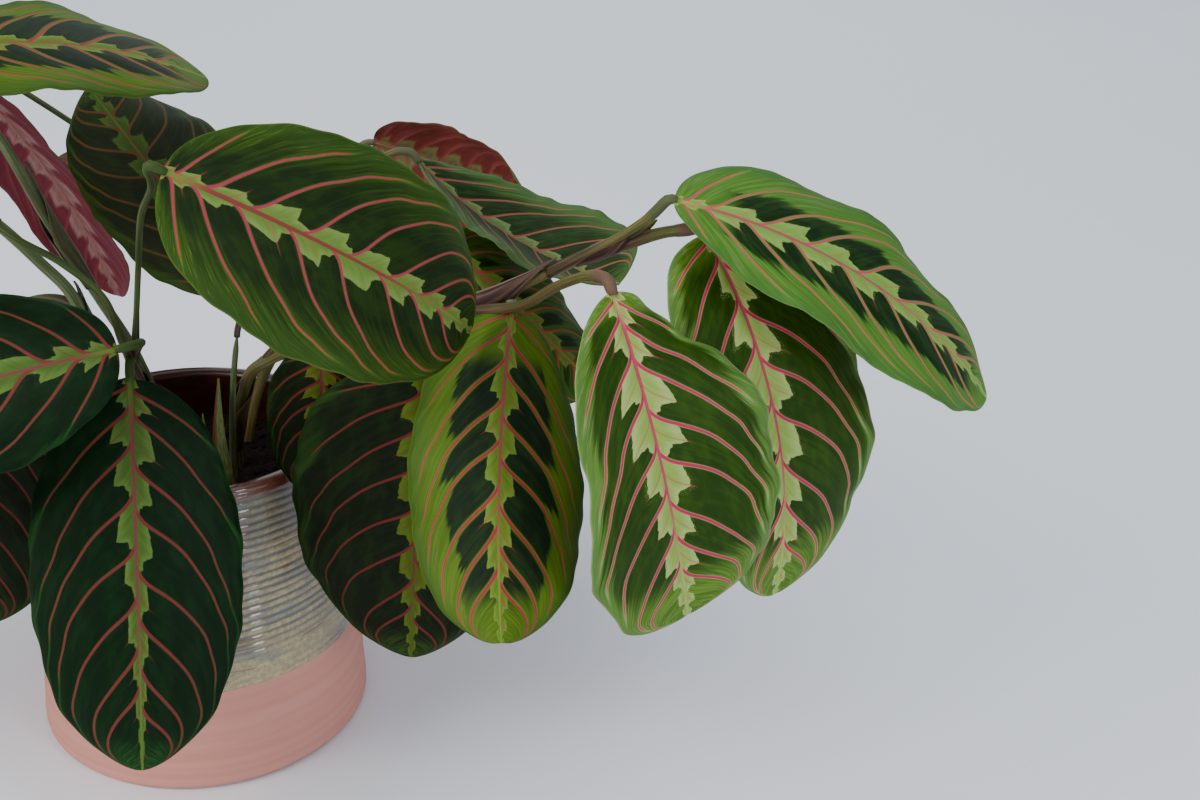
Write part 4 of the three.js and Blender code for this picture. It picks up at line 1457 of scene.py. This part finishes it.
@dataclass
class Leaf:
    """One leaf: its surface from the shared formula, its relief and its UV maps.

    Its number sets the phase of its waves and its own markings.
    """

    name: str
    spec: LeafSpec
    number: int
    blade: BladeSizes = BladeSizes()

    def __post_init__(self) -> None:
        """Spaces the grid: u along the midrib, closer at the ends, and v across, closer at the middle."""
        share = np.linspace(0, 1, self.blade.rows)
        self.rows = 0.2 * share + 0.8 * (0.5 - 0.5 * np.cos(np.pi * share))
        half = np.linspace(0, 1, self.blade.half_columns) ** 1.3
        self.u, self.v = np.meshgrid(self.rows, np.concatenate([-half[::-1], half[1:]]), indexing="ij")
        self.middle = self.blade.half_columns - 1

    def directions(self, share: Array) -> tuple[Array, Array, Array]:
        """Gives the midrib's directions in the leaf's own frame.

        Args:
            share: Shares of its length.

        Returns:
            The unit directions along it, to its side and up from the top face.
        """
        droop, sway = np.radians(self.spec.bend[:2])
        down, turn = droop * share, sway * share
        none = np.zeros_like(share)
        ahead = np.stack([none, np.cos(down), -np.sin(down)], -1)
        up = np.stack([none, np.sin(down), np.cos(down)], -1)
        right = np.stack([none + 1, none, none], -1)
        cosine, sine = np.cos(turn)[:, None], np.sin(turn)[:, None]
        return ahead * cosine + right * sine, right * cosine - ahead * sine, up

    def midrib(self) -> Array:
        """Follows the midrib in the leaf's own frame.

        Returns:
            Its points, one for each row of the grid.
        """
        steps = self.blade.midrib_steps
        middle = (np.arange(steps) + 0.5) / steps
        travel = np.cumsum(self.directions(middle)[0], axis=0) * self.spec.size[0] / steps
        travel = np.vstack([np.zeros(3), travel])
        marks = np.linspace(0, 1, steps + 1)
        return np.stack([np.interp(self.rows, marks, travel[:, axis]) for axis in range(3)], -1)

    def surface(self) -> Array:
        """Gives the middle surface of the blade in the model's frame, in millimetres.

        Returns:
            An array of rows, columns and coordinates.
        """
        spec, blade, u = self.spec, self.blade, self.u
        fold, curl = np.radians(spec.bend[2:])
        wider, egg, skew = spec.form
        sign, reach = np.sign(self.v), np.abs(self.v)
        shape = half_width(u, egg + sign * skew) * spec.size[1] / 2 * (1 + sign * wider)
        least = blade.base_half_width + (blade.tip_half_width - blade.base_half_width) * u

        # Faint lobes in every outline, and those of this leaf's own.
        lobes = 0.012 * (np.sin(23 * u + 1.9 * self.number + sign) - 1)
        lobes = lobes + 0.008 * (np.sin(57 * u + 2.7 * self.number - 2 * sign) - 1)
        for lobe_side, centre, width, amount in OUTLINE_LOBES.get(self.name, []):
            lobes = lobes + (sign == lobe_side) * amount * np.exp(-(((u - centre) / width) ** 2))
        half = np.maximum(shape * (1 + lobes), least)

        # The edge's broad waves, and a fine flutter at its rim.
        angle = fold + curl * reach / 2
        ripple = np.sin(2 * np.pi * blade.waves * u + 1.7 * self.number + sign)
        wave = spec.wave * ripple * reach ** blade.wave_reach * half_width(u, egg)
        flutter = np.sin(61 * u + 2.1 * self.number + 2 * sign) + 0.6 * np.sin(97 * u + self.number)
        wave = wave + blade.flutter * (flutter - 0.9) * reach ** 6 * half_width(u, egg)
        out = (sign * half * reach * np.cos(angle))[..., None]
        rise = (wave - half * reach * np.sin(angle))[..., None]
        _, side, up = self.directions(self.rows)
        local = self.midrib()[:, None] + out * side[:, None] + rise * up[:, None]
        return local @ np.stack(leaf_axes(spec.aim)) + np.array(spec.base)

    def fields(self, surface: Array, sign: int) -> Fields:
        """Works out the markings' fields for one half of the blade.

        Args:
            surface: The middle surface.
            sign: 1 for the half on the leaf's right-hand side, or -1.

        Returns:
            The vein number, the pitch of the veins and the distance from the midrib.
        """
        middle = self.middle
        variety = np.sin(self.number * 2.3 + sign)
        phase = vein_phase(self.u, np.clip(self.v * sign, 0, 1)) * (0.985 + 0.015 * variety)
        phase = phase + (0.34 if sign > 0 else 0.02)
        phase = phase + 0.05 * np.sin(phase * 2.9 + self.number * 1.1 + sign)

        # The pitch is 1 over the slope of the vein number on the surface.
        row_step, phase_row = np.gradient(surface, axis=0), np.gradient(phase, axis=0)
        column_step, phase_column = np.gradient(surface, axis=1), np.gradient(phase, axis=1)
        column_step[:, middle] = (surface[:, middle + sign] - surface[:, middle]) * sign
        phase_column[:, middle] = (phase[:, middle + sign] - phase[:, middle]) * sign
        rr = (row_step ** 2).sum(-1)
        cc = (column_step ** 2).sum(-1)
        rc = (row_step * column_step).sum(-1)
        spread = np.maximum(rr * cc - rc ** 2, 1e-9)
        slope = (phase_row ** 2 * cc - 2 * phase_row * phase_column * rc + phase_column ** 2 * rr) / spread
        pitch = np.minimum(1 / np.sqrt(np.maximum(slope, 1e-6)), PITCH_SCALE)
        gaps = np.linalg.norm(np.diff(surface, axis=1), axis=-1)
        marks = np.concatenate([np.zeros((len(self.rows), 1)), np.cumsum(gaps, axis=1)], axis=1)
        return {"phase": phase, "pitch": pitch, "across": np.abs(marks - marks[:, middle:middle + 1])}

    def sheets(self, surface: Array, halves: dict[int, Fields]) -> Array:
        """Gives both faces of the blade, with its quilting, its groove and its raised midrib.

        Args:
            surface: The middle surface.
            halves: The fields of both halves.

        Returns:
            The points of the top face, then those of the underside.
        """
        blade, u, reach = self.blade, self.u, np.abs(self.v)
        phase, pitch, across = [
            np.where(self.v < 0, halves[-1][key], halves[1][key]) for key in ("phase", "pitch", "across")
        ]
        normal = unit(np.cross(np.gradient(surface, axis=1), np.gradient(surface, axis=0)))
        fade = smoothstep(reach, 0.04, 0.22) * (1 - smoothstep(reach, 0.78, 0.98))
        fade = fade * (1 - smoothstep(u, 0.9, 1.0))
        swell = np.abs(np.sin(np.pi * phase)) ** 0.7 - 0.75
        quilt = blade.quilting * fade * smoothstep(pitch, 2.0, 7.0) * swell
        groove = -blade.midrib_groove * (1 - 0.6 * u) * np.exp(-(across ** 2))
        ridge = blade.midrib_ridge * (1 - u) ** 0.8 * np.exp(-((across / 0.9) ** 2))
        thickness = blade.thickness * (1 - 0.5 * reach ** 4)
        top = surface + normal * (thickness / 2 + quilt + groove)[..., None]
        under = surface + normal * (quilt - thickness / 2 - ridge)[..., None]
        return np.vstack([top.reshape(-1, 3), under.reshape(-1, 3)])

    def maps(self, halves: dict[int, Fields], corners: Corners, on_left: Array) -> Fields:
        """Reads the markings' UV maps at the corners of faces.

        Args:
            halves: The fields of both halves.
            corners: The rows and columns of the faces' first to fourth corners.
            on_left: Which faces are on the left half.

        Returns:
            For each map a value pair for each corner of each face.
        """
        phase, pitch, across = [
            np.stack([np.where(on_left, halves[-1][key][at], halves[1][key][at]) for at in corners], -1)
            for key in ("phase", "pitch", "across")
        ]
        return {
            "vein": np.stack([phase / PHASE_SCALE, pitch / PITCH_SCALE], -1),
            "blade": np.stack([np.stack([self.v[at], self.u[at]], -1) for at in corners], 1),
            "spot": np.stack([across / LENGTH_SCALE, np.full_like(phase, 0.13 * self.number)], -1),
        }

    def build(self, top: Material, under: Material) -> None:
        """Makes the leaf's object.

        Args:
            top: The material of its top face.
            under: The material of its underside.
        """
        surface = self.surface()
        halves = {sign: self.fields(surface, sign) for sign in (-1, 1)}
        points = self.sheets(surface, halves)
        rows, columns = self.u.shape

        # On the left half a face starts one corner on, so that its diagonal mirrors the right half's.
        row, column = grid_cells(rows - 1, columns - 1)
        on_left = column < self.middle
        corners = [
            (row, column + on_left), (row + on_left, column + 1),
            (row + 1, column + ~on_left), (row + ~on_left, column),
        ]
        numbers = np.stack([r * columns + c for r, c in corners], -1)
        turned = [0, 3, 2, 1]
        maps = self.maps(halves, corners, on_left)

        # The strip of faces round the rim, which closes the blade.
        rim = [(0, c) for c in range(columns)]
        rim += [(r, columns - 1) for r in range(1, rows)]
        rim += [(rows - 1, c) for c in range(columns - 2, -1, -1)]
        rim += [(r, 0) for r in range(rows - 2, 0, -1)]
        near = np.array(rim)
        far = np.roll(near, -1, axis=0)
        around = [(end[:, 0], end[:, 1]) for end in (near, far, far, near)]
        rim_maps = self.maps(halves, around, near[:, 1] + far[:, 1] < 2 * self.middle)
        first, second = near @ (columns, 1), far @ (columns, 1)
        under_start = rows * columns
        rim_numbers = np.stack([under_start + first, under_start + second, second, first], -1)

        # The baked picture holds the top face at its left, the underside at its right and the rim between.
        sheet = maps["blade"] * (0.22, 0.96) + (0.24, 0.02)
        index = np.arange(len(rim))
        run = 0.02 + 0.96 * np.stack([index, index + 1, index + 1, index], -1) / len(rim)
        strip = np.stack([np.tile([0.48, 0.48, 0.47, 0.47], (len(rim), 1)), run], -1)

        faces = np.vstack([numbers, numbers[:, turned] + under_start, rim_numbers])
        piece = make_object("prayer_leaf_" + self.name, points, faces.tolist())
        for key, values in maps.items():
            set_uv(piece, key, np.vstack([values, values[:, turned], rim_maps[key]]))
        set_uv(piece, "OFBake", np.vstack([sheet, sheet[:, turned] + (0.5, 0.0), strip]))
        piece.data.materials.append(top)
        piece.data.materials.append(under)
        slots = np.repeat([0, 1, 0], [len(numbers), len(numbers), len(rim)])
        piece.data.polygons.foreach_set("material_index", slots.astype(np.int32))
        dress(piece, "leaf", "leaf_" + self.name)


@dataclass(frozen=True)
class Foliage:
    """All the leaves. glow is how much of the light comes through a blade."""

    leaves: dict[str, LeafSpec]
    glow: float = 0.1

    def build(self) -> None:
        """Makes the leaves with their materials."""
        tops = {
            look: LeafSkin(f"leaf_top_{look.value}", tone, self.glow).build()
            for look, tone in TOP_TONES.items()
        }
        unders = {
            kind: LeafSkin(f"leaf_underside_{kind.value}", tone, self.glow).build()
            for kind, tone in UNDER_TONES.items()
        }
        for number, (name, spec) in enumerate(self.leaves.items()):
            Leaf(name, spec, number).build(tops[spec.look], unders[spec.underside])


# Shoots


def apply_modifier(piece: Piece, name: str) -> None:
    """Applies one modifier.

    Args:
        piece: The object.
        name: The modifier's name.
    """
    bpy.ops.object.select_all(action="DESELECT")
    piece.select_set(True)
    bpy.context.view_layer.objects.active = piece
    bpy.ops.object.modifier_apply(modifier=name)


def join_into(piece: Piece, others: list[Piece]) -> None:
    """Joins other objects into a piece.

    Args:
        piece: The object that stays.
        others: The objects that become part of it.
    """
    if not others:
        return
    bpy.ops.object.select_all(action="DESELECT")
    for other in [*others, piece]:
        other.select_set(True)
    bpy.context.view_layer.objects.active = piece
    bpy.ops.object.join()


@dataclass
class Shoot:
    """One shoot: its stem, its leaf stalks and its papery sheaths."""

    name: str
    spec: ShootSpec
    sizes: StalkSizes = StalkSizes()

    def __post_init__(self) -> None:
        """Follows the stem and finds the shoot's own leaves."""
        self.stem = Path(spline(self.spec.route, False))
        self.leaves = {name: leaf for name, leaf in LEAVES.items() if leaf.shoot == self.name}

    def stem_radius(self, share: Array) -> Array:
        """Gives the stem's radius between its nodes, at shares of its length."""
        sizes = self.sizes
        return sizes.stem_foot_radius + (sizes.stem_end_radius - sizes.stem_foot_radius) * share

    def at_nodes(self, share: Array, reach: float) -> Array:
        """Gives 1 at the middle of a node and 0 past its reach in millimetres, at shares of the length."""
        gaps = [(share - leaf.share) * self.stem.length / reach for leaf in self.leaves.values()]
        return np.minimum(sum(np.exp(-(gap ** 2)) for gap in gaps), 1)

    def stalk_path(self, leaf_name: str, leaf: LeafSpec) -> Path:
        """Follows a leaf's stalk from the stem into the base of its blade.

        Args:
            leaf_name: The leaf's name.
            leaf: The leaf.

        Returns:
            The stalk's path.
        """
        _, along, _ = leaf_axes(leaf.aim)
        route = STALK_ROUTES.get(leaf_name)
        start = self.stem.at(route.share if route and route.share else leaf.share)
        end = np.array(leaf.base, float) + along * self.sizes.overlap
        if route:
            hook = end - along * route.hook
            return Path(spline([tuple(start), *route.points, tuple(hook), tuple(end)], True))
        distance = float(np.linalg.norm(end - start))
        reach = min(0.42 * distance, 30.0)
        leave = start + self.stem.direction(leaf.share) * 0.7 * reach + np.array([0, 0, 0.5 * reach])
        arrive = end - along * min(self.sizes.plain_hook, 0.6 * distance)
        return Path(bezier([start, leave, arrive, end]))

    def add_stalk(self, tubes: TubeMesh, leaf_name: str, leaf: LeafSpec) -> None:
        """Adds a leaf's stalk, with its own sheath at the stem and its thick joint at the blade.

        Args:
            tubes: The mesh that it is added to.
            leaf_name: The leaf's name.
            leaf: The leaf.
        """
        sizes = self.sizes
        path = self.stalk_path(leaf_name, leaf)
        distance = path.spaced(sizes.ring_spacing)
        plain = STALK_ROUTES[leaf_name].radius if leaf_name in STALK_ROUTES else sizes.radius
        joint_start = path.length - sizes.joint_length
        own_sheath = sizes.sheath_extra if self.spec.girth == 1 else 0.0
        sleeve = np.clip(1 - distance / sizes.sheath_length, 0, 1) * own_sheath
        joint = smoothstep(distance, joint_start - 2, joint_start + 1) * sizes.joint_extra
        ending = 1 - 0.2 * smoothstep(distance, path.length - 2.5, path.length)
        radii = (plain + np.maximum(sleeve, joint)) * ending
        brown = 0.75 * (1 - smoothstep(distance, 0.5 * sizes.sheath_length, sizes.sheath_length))
        thick = smoothstep(distance, joint_start - 1.5, joint_start + 1.5)
        tubes.add(path, distance, radii, np.stack([brown, thick], -1), joint=leaf.joint)

    def sheath(self, sheath: Sheath, number: int) -> Piece:
        """Makes a sheath: a sleeve round the stem that opens to a free pointed tip.

        Args:
            sheath: The sheath's place and size.
            number: Its number on the shoot.

        Returns:
            The sheath.
        """
        rows, columns = self.sizes.sheath_rows, self.sizes.sheath_columns
        t = np.linspace(0, 1, rows)
        share = sheath.start + (sheath.end - sheath.start) * t
        centres = self.stem.at(share)
        firsts, seconds = frames_along(centres)
        inner = self.stem_radius(share) + 0.12

        # It swells from the stem, opens from a third of its length and flares at its tip.
        swell = smoothstep(t, 0.0, 0.3) * (1 - 0.35 * smoothstep(t, 0.5, 1.0))
        radii = inner + np.maximum(sheath.radius - inner, 0) * swell + 0.9 * smoothstep(t, 0.75, 1.0)
        opening = np.pi * (1.02 - 0.97 * smoothstep(t, 0.35, 1.0) ** 0.8)
        across = np.linspace(-1, 1, columns)[None, :]
        angle = sheath.facing + opening[:, None] * across
        lap = 1 + 0.07 * across * (1 - t[:, None])
        out = np.cos(angle)[..., None] * firsts[:, None] + np.sin(angle)[..., None] * seconds[:, None]
        points = centres[:, None] + out * (radii[:, None] * lap)[..., None]
        row, column = grid_cells(rows - 1, columns - 1)
        corners = [(row, column), (row, column + 1), (row + 1, column + 1), (row + 1, column)]
        faces = np.stack([r * columns + c for r, c in corners], -1)
        run = t * (sheath.end - sheath.start) * self.stem.length / RUN_UNIT
        skin = np.stack([np.stack([c / columns, run[r]], -1) for r, c in corners], 1).reshape(-1, 2)
        piece = make_object(f"sheath_{self.name}_{number}", points.reshape(-1, 3), faces.tolist())
        set_uv(piece, "skin", skin)
        set_uv(piece, "part", np.tile([sheath.tint, 0.0], (len(skin), 1)))
        set_uv(piece, "joint", np.tile([0.5, 0.0], (len(skin), 1)))
        modifier = piece.modifiers.new("thickness", "SOLIDIFY")
        modifier.thickness = self.sizes.sheath_thickness * MM
        modifier.offset = 0
        apply_modifier(piece, modifier.name)
        return piece

    def build(self, material: Material) -> None:
        """Makes the shoot's one object.

        Args:
            material: The skin of stems and stalks.
        """
        tubes = TubeMesh()
        distance = self.stem.spaced(self.sizes.ring_spacing)
        share = distance / self.stem.length
        tip = np.sqrt(np.clip((self.stem.length - distance) / 6.0 + 0.02, 0, 1))
        nodes = self.sizes.node_extra * self.at_nodes(share, 1.6)
        radii = (self.stem_radius(share) + nodes) * tip * self.spec.girth
        tubes.add(self.stem, distance, radii, np.stack([0 * share, 0.6 * self.at_nodes(share, 1.5)], -1))
        for leaf_name, leaf in self.leaves.items():
            self.add_stalk(tubes, leaf_name, leaf)
        piece = tubes.build("stem_and_stalks_" + self.name)
        join_into(piece, [self.sheath(sheath, number) for number, sheath in enumerate(self.spec.sheaths)])
        piece.data.materials.append(material)
        dress(piece, "stem", "shoot_" + self.name)


@dataclass(frozen=True)
class RolledLeaf:
    """A young leaf that is still rolled into a spear."""

    name: str
    route: Route
    radius: float
    sides: int = 20
    ring_spacing: float = 1.2
    overlap: float = 0.26

    def build(self, material: Material) -> None:
        """Makes the spear.

        Args:
            material: Its skin.
        """
        path = Path(spline(self.route, False))
        distance = path.spaced(self.ring_spacing)
        radii = self.radius * np.minimum(1, 0.1 + 1.7 * (1 - distance / path.length))
        tube = TubeMesh(self.sides)
        tube.add(path, distance, radii, np.zeros((len(distance), 2)), self.overlap)
        piece = tube.build("young_" + self.name)
        piece.data.materials.append(material)
        dress(piece, "rolled_leaf", self.name)


# Pot and soil


@dataclass(frozen=True)
class Pot:
    """The thrown pot, turned from its profile."""

    height: float = 110.0
    base_radius: float = 57.5
    rim_radius: float = 50.0
    foot_bevel: float = 3.0
    wall: float = 5.5
    floor: float = 6.0
    fillet: float = 6.0
    lip: float = 4.0
    inset: float = 0.05
    inner_levels: tuple[float, ...] = (104, 100, 95, 90, 80, 60, 40, 20, 12)
    glaze_edge: float = 38.0
    glaze_step: float = 0.35
    rib_pitch: float = 2.7
    rib_height: float = 0.22
    steps: int = 180

    def outer_radius(self, height: float) -> float:
        """Gives the bare outer radius at a height above the underside."""
        share = (height - self.foot_bevel) / (self.height - self.foot_bevel)
        return self.base_radius + (self.rim_radius - self.base_radius) * share

    def inner_radius(self, height: float) -> float:
        """Gives the inner radius at a height above the underside."""
        low, high = self.floor + self.fillet, self.height - self.lip
        foot, mouth = self.base_radius - self.wall - 0.8, self.rim_radius - self.wall
        return foot + (mouth - foot) * (height - low) / (high - low)

    def wall_radius(self, height: float) -> float:
        """Gives the outer radius with its throwing ribs and the step of the glaze.

        Args:
            height: The height above the underside.

        Returns:
            The radius.
        """
        edge = self.glaze_edge
        step = self.glaze_step * float(smoothstep(height, edge - 0.2, edge + 0.8))
        ribbed = float(smoothstep(height, edge + 8, edge + 16))
        ribbed *= 1 - float(smoothstep(height, self.height - 8, self.height - self.lip))
        rib = abs(math.sin(math.pi * height / self.rib_pitch)) ** 0.8 - 0.9
        low_rings = 0.06 * math.sin(height * 1.4) * math.sin(height * 0.31)
        glazed = self.outer_radius(height) + step + self.rib_height * rib * ribbed
        return glazed + low_rings * (1 - ribbed) - self.inset

    def profile(self) -> list[Pair]:
        """Gives the profile from the middle of the underside to the middle of the inner floor.

        Returns:
            Radius and height of each point.
        """
        flat = self.base_radius - self.foot_bevel
        points = [(0.0, 0.0), (flat, 0.0)]
        for angle in np.linspace(0, math.pi / 2, 7)[1:]:
            points.append((
                flat + (self.foot_bevel - 0.1) * math.sin(angle),
                self.foot_bevel * (1 - math.cos(angle)),
            ))
        for height in np.arange(self.foot_bevel + 0.6, self.height - 2.6, 0.5):
            points.append((self.wall_radius(height), height))
        for angle in np.linspace(0, math.pi, 13):
            points.append((
                self.rim_radius - self.wall / 2 + 0.1 + self.wall / 2 * math.cos(angle),
                self.height - 2.5 + 2.45 * math.sin(angle),
            ))
        points += [(self.inner_radius(height), height) for height in self.inner_levels]
        points += [(self.inner_radius(12) - 2.2, self.floor + 1.4), (self.inner_radius(12) - 5, self.floor)]
        return points + [(0.0, self.floor)]

    def build(self) -> None:
        """Turns the profile into the pot."""
        points = np.array([(radius, 0.0, height) for radius, height in self.profile()])
        mesh = bpy.data.meshes.new("thrown_pot")
        mesh.from_pydata((points * MM).tolist(), [(n, n + 1) for n in range(len(points) - 1)], [])
        piece = bpy.data.objects.new("thrown_pot", mesh)
        bpy.context.scene.collection.objects.link(piece)
        screw = piece.modifiers.new("turn", "SCREW")
        screw.steps = self.steps
        screw.render_steps = self.steps
        screw.use_merge_vertices = True
        screw.merge_threshold = 1e-6
        screw.use_normal_calculate = True
        apply_modifier(piece, "turn")
        piece.data.materials.append(StonewareFinish(self.height, self.glaze_edge, self.rib_pitch).build())
        piece.data.materials.append(IronGlazeFinish().build())
        for face in piece.data.polygons:
            x, y, z = face.center / MM
            inside = math.hypot(x, y) < self.outer_radius(max(z, 4)) - self.wall / 2 and z > self.floor - 1
            face.material_index = 1 if inside else 0
            face.use_smooth = True
        dress(piece, "pot", "pot")


@dataclass(frozen=True)
class Soil:
    """The soil's uneven top, with loose crumbs on it, inside a pot."""

    pot: Pot
    top: float = 92.0
    shoulder: float = 84.0
    foot: float = 70.0
    clearance: float = 0.35
    unevenness: float = 1.1
    rings: int = 46
    sides: int = 120
    crumb_count: int = 420
    seed: int = 11

    def height(self, x: Array, y: Array) -> Array:
        """Gives the height of the soil's surface.

        Args:
            x: Places along X.
            y: Places along Y.

        Returns:
            The heights.
        """
        broad = np.sin(0.21 * x + 1.3) * np.cos(0.17 * y - 0.4)
        fine = np.sin(0.43 * x - 0.6 * y + 2.1)
        clods = 0.35 * np.sin(1.3 * x + 0.9 * y) * np.sin(1.1 * y - 0.7 * x + 1.0)
        return self.top - 0.5 + self.unevenness * (0.6 * broad + 0.4 * fine) + clods

    def build(self) -> None:
        """Makes the soil and its crumbs in one object."""
        edge = self.pot.inner_radius(self.top) - self.clearance
        angles = 2 * np.pi * np.arange(self.sides) / self.sides
        round_x, round_y = np.cos(angles), np.sin(angles)
        points = []
        for radius, level in ((edge - 0.4, self.foot), (edge, self.shoulder)):
            points.append(np.stack([radius * round_x, radius * round_y, np.full(self.sides, level)], -1))
        for ring in range(self.rings):
            radius = edge * (1 - ring / self.rings)
            x, y = radius * round_x, radius * round_y
            points.append(np.stack([x, y, self.height(x, y)], -1))
        last, side = (len(points) - 1) * self.sides, np.arange(self.sides)
        following = (side + 1) % self.sides
        middle = np.full(self.sides, len(points) * self.sides)
        summit = float(self.height(np.array(0.0), np.array(0.0)))
        points.append(np.array([[0.0, 0.0, summit], [0.0, 0.0, self.foot]]))
        faces = []
        for near in range(0, last, self.sides):
            far = near + self.sides
            faces += np.stack([near + side, near + following, far + following, far + side], -1).tolist()
        faces += np.stack([last + side, last + following, middle], -1).tolist()
        faces += np.stack([following, side, middle + 1], -1).tolist()
        piece = make_object("potting_soil", np.vstack(points), faces)
        join_into(piece, [self.crumbs(edge)])
        piece.data.materials.append(SoilFinish().build())
        dress(piece, "soil", "soil")

    def crumbs(self, edge: float) -> Piece:
        """Scatters crumbs over the soil.

        Args:
            edge: The radius of the soil's surface.

        Returns:
            The crumbs.
        """
        draw = np.random.default_rng(self.seed)
        bpy.ops.object.select_all(action="DESELECT")
        bpy.ops.mesh.primitive_ico_sphere_add(subdivisions=2, radius=1.0)
        pattern = bpy.context.active_object
        shape = np.array([vertex.co for vertex in pattern.data.vertices])
        faces = np.array([list(face.vertices) for face in pattern.data.polygons])
        bpy.data.objects.remove(pattern)
        points = []
        for _ in range(self.crumb_count):
            distance, angle = edge * math.sqrt(draw.random()) * 0.97, draw.random() * 2 * math.pi
            x, y = distance * math.cos(angle), distance * math.sin(angle)
            size = 0.35 + 1.3 * draw.random() ** 3
            bumps = np.sin(shape @ draw.normal(size=(3, 3)) * 2.5).sum(-1, keepdims=True)
            lumps = shape * (1 + 0.3 * bumps / 2)
            stretch = np.array([1.0, 0.55 + 0.4 * draw.random(), 0.45 + 0.4 * draw.random()])
            turn = np.array(Matrix.Rotation(draw.random() * 6.3, 3, "Z"))
            centre = np.array([x, y, float(self.height(np.array(x), np.array(y))) + 0.15 * size])
            points.append((lumps * stretch * size) @ turn.T + centre)
        starts = len(shape) * np.arange(self.crumb_count)
        numbers = (faces + starts[:, None, None]).reshape(-1, 3)
        return make_object("crumbs", np.vstack(points), numbers.tolist())


# Studio


@dataclass(frozen=True)
class SoftLight:
    """A rectangular light: its place and size in metres, its power in watts and its colour."""

    name: str
    place: Triple
    size: Pair
    power: float
    colour: str

    def build(self, target: Triple) -> None:
        """Makes the light, facing a point.

        Args:
            target: The point, in metres.
        """
        data = bpy.data.lights.new(self.name, "AREA")
        data.shape = "RECTANGLE"
        data.size, data.size_y = self.size
        data.energy = self.power
        data.color = linear(self.colour)[:3]
        light = bpy.data.objects.new(self.name, data)
        bpy.context.scene.collection.objects.link(light)
        light.location = self.place
        light.rotation_mode = "QUATERNION"
        light.rotation_quaternion = (Vector(target) - Vector(self.place)).to_track_quat("-Z", "Y")


@dataclass(frozen=True)
class Studio:
    """The floor, the lights and the camera. Lengths are metres, except the camera's own."""

    floor_size: float = 40.0
    floor_drop: float = 0.0003
    target: Triple = (0.03, -0.02, 0.14)
    soft_lights: tuple[SoftLight, ...] = (
        SoftLight("window", (-0.95, -0.75, 0.95), (1.0, 0.8), 17.0, "fff8f0"),
        SoftLight("side_window", (1.25, -1.0, 0.66), (0.2, 0.7), 7.0, "f8faff"),
        SoftLight("back", (0.2, 1.8, 1.1), (1.8, 1.2), 6.0, "ffffff"),
    )
    overhead_power: float = 1.15
    overhead_spread: float = 1.4
    overhead_tilt: Pair = (12.0, -10.0)
    sky_colour: str = "dbe3f0"
    sky_power: float = 0.52
    camera_place: Triple = (139.3, -439.7, 336.3)
    camera_pitch: float = 0.443
    camera_roll: float = 0.054
    camera_lens: float = 43.5
    sensor_width: float = 36.0
    camera_clip: Pair = (0.01, 50.0)

    def floor(self) -> None:
        """Makes the plain pale floor."""
        bpy.ops.object.select_all(action="DESELECT")
        bpy.ops.mesh.primitive_plane_add(size=self.floor_size, location=(0, 0, -self.floor_drop))
        floor = bpy.context.active_object
        floor.name = "studio_floor"
        floor.data.materials.append(PaperFinish().build())

    def lights(self) -> None:
        """Makes the soft lights, the even light from overhead and the pale surroundings."""
        for light in self.soft_lights:
            light.build(self.target)
        overhead = bpy.data.lights.new("overhead", "SUN")
        overhead.energy = self.overhead_power
        overhead.angle = self.overhead_spread
        lamp = bpy.data.objects.new("overhead", overhead)
        lamp.rotation_euler = (*map(math.radians, self.overhead_tilt), 0)
        bpy.context.scene.collection.objects.link(lamp)
        world = bpy.data.worlds.new("studio")
        world.use_nodes = True
        background = world.node_tree.nodes["Background"]
        background.inputs[0].default_value = linear(self.sky_colour)
        background.inputs[1].default_value = self.sky_power
        bpy.context.scene.world = world

    def camera(self) -> None:
        """Makes the camera of the photograph's view."""
        pitch, roll = self.camera_pitch, self.camera_roll
        ahead = Vector((0, math.cos(pitch), -math.sin(pitch)))
        level_up = Vector((0, math.sin(pitch), math.cos(pitch)))
        right = Vector((1, 0, 0)) * math.cos(roll) + level_up * math.sin(roll)
        up = level_up * math.cos(roll) - Vector((1, 0, 0)) * math.sin(roll)
        data = bpy.data.cameras.new("camera")
        data.lens = self.camera_lens
        data.sensor_width = self.sensor_width
        data.sensor_fit = "HORIZONTAL"
        data.clip_start, data.clip_end = self.camera_clip
        camera = bpy.data.objects.new("camera", data)
        bpy.context.scene.collection.objects.link(camera)
        rotation = Matrix((right, up, -ahead)).transposed().to_4x4()
        camera.matrix_world = Matrix.Translation(Vector(self.camera_place) * MM) @ rotation
        bpy.context.scene.camera = camera

    def build(self) -> None:
        """Sets up the studio."""
        self.floor()
        self.lights()
        self.camera()


def main() -> None:
    """Builds the pieces in order."""
    logging.basicConfig(level=logging.INFO, format="%(message)s")
    pot = Pot()
    pot.build()
    Soil(pot).build()
    skins = {tone: finish.build() for tone, finish in STEM_FINISHES.items()}
    for name, spec in SHOOTS.items():
        Shoot(name, spec).build(skins[spec.tone])
    young = RolledLeafFinish().build()
    for name, (route, radius) in ROLLED_LEAVES.items():
        RolledLeaf(name, route, radius).build(young)
    Foliage(LEAVES).build()
    Studio().build()


if __name__ == "__main__":
    main()
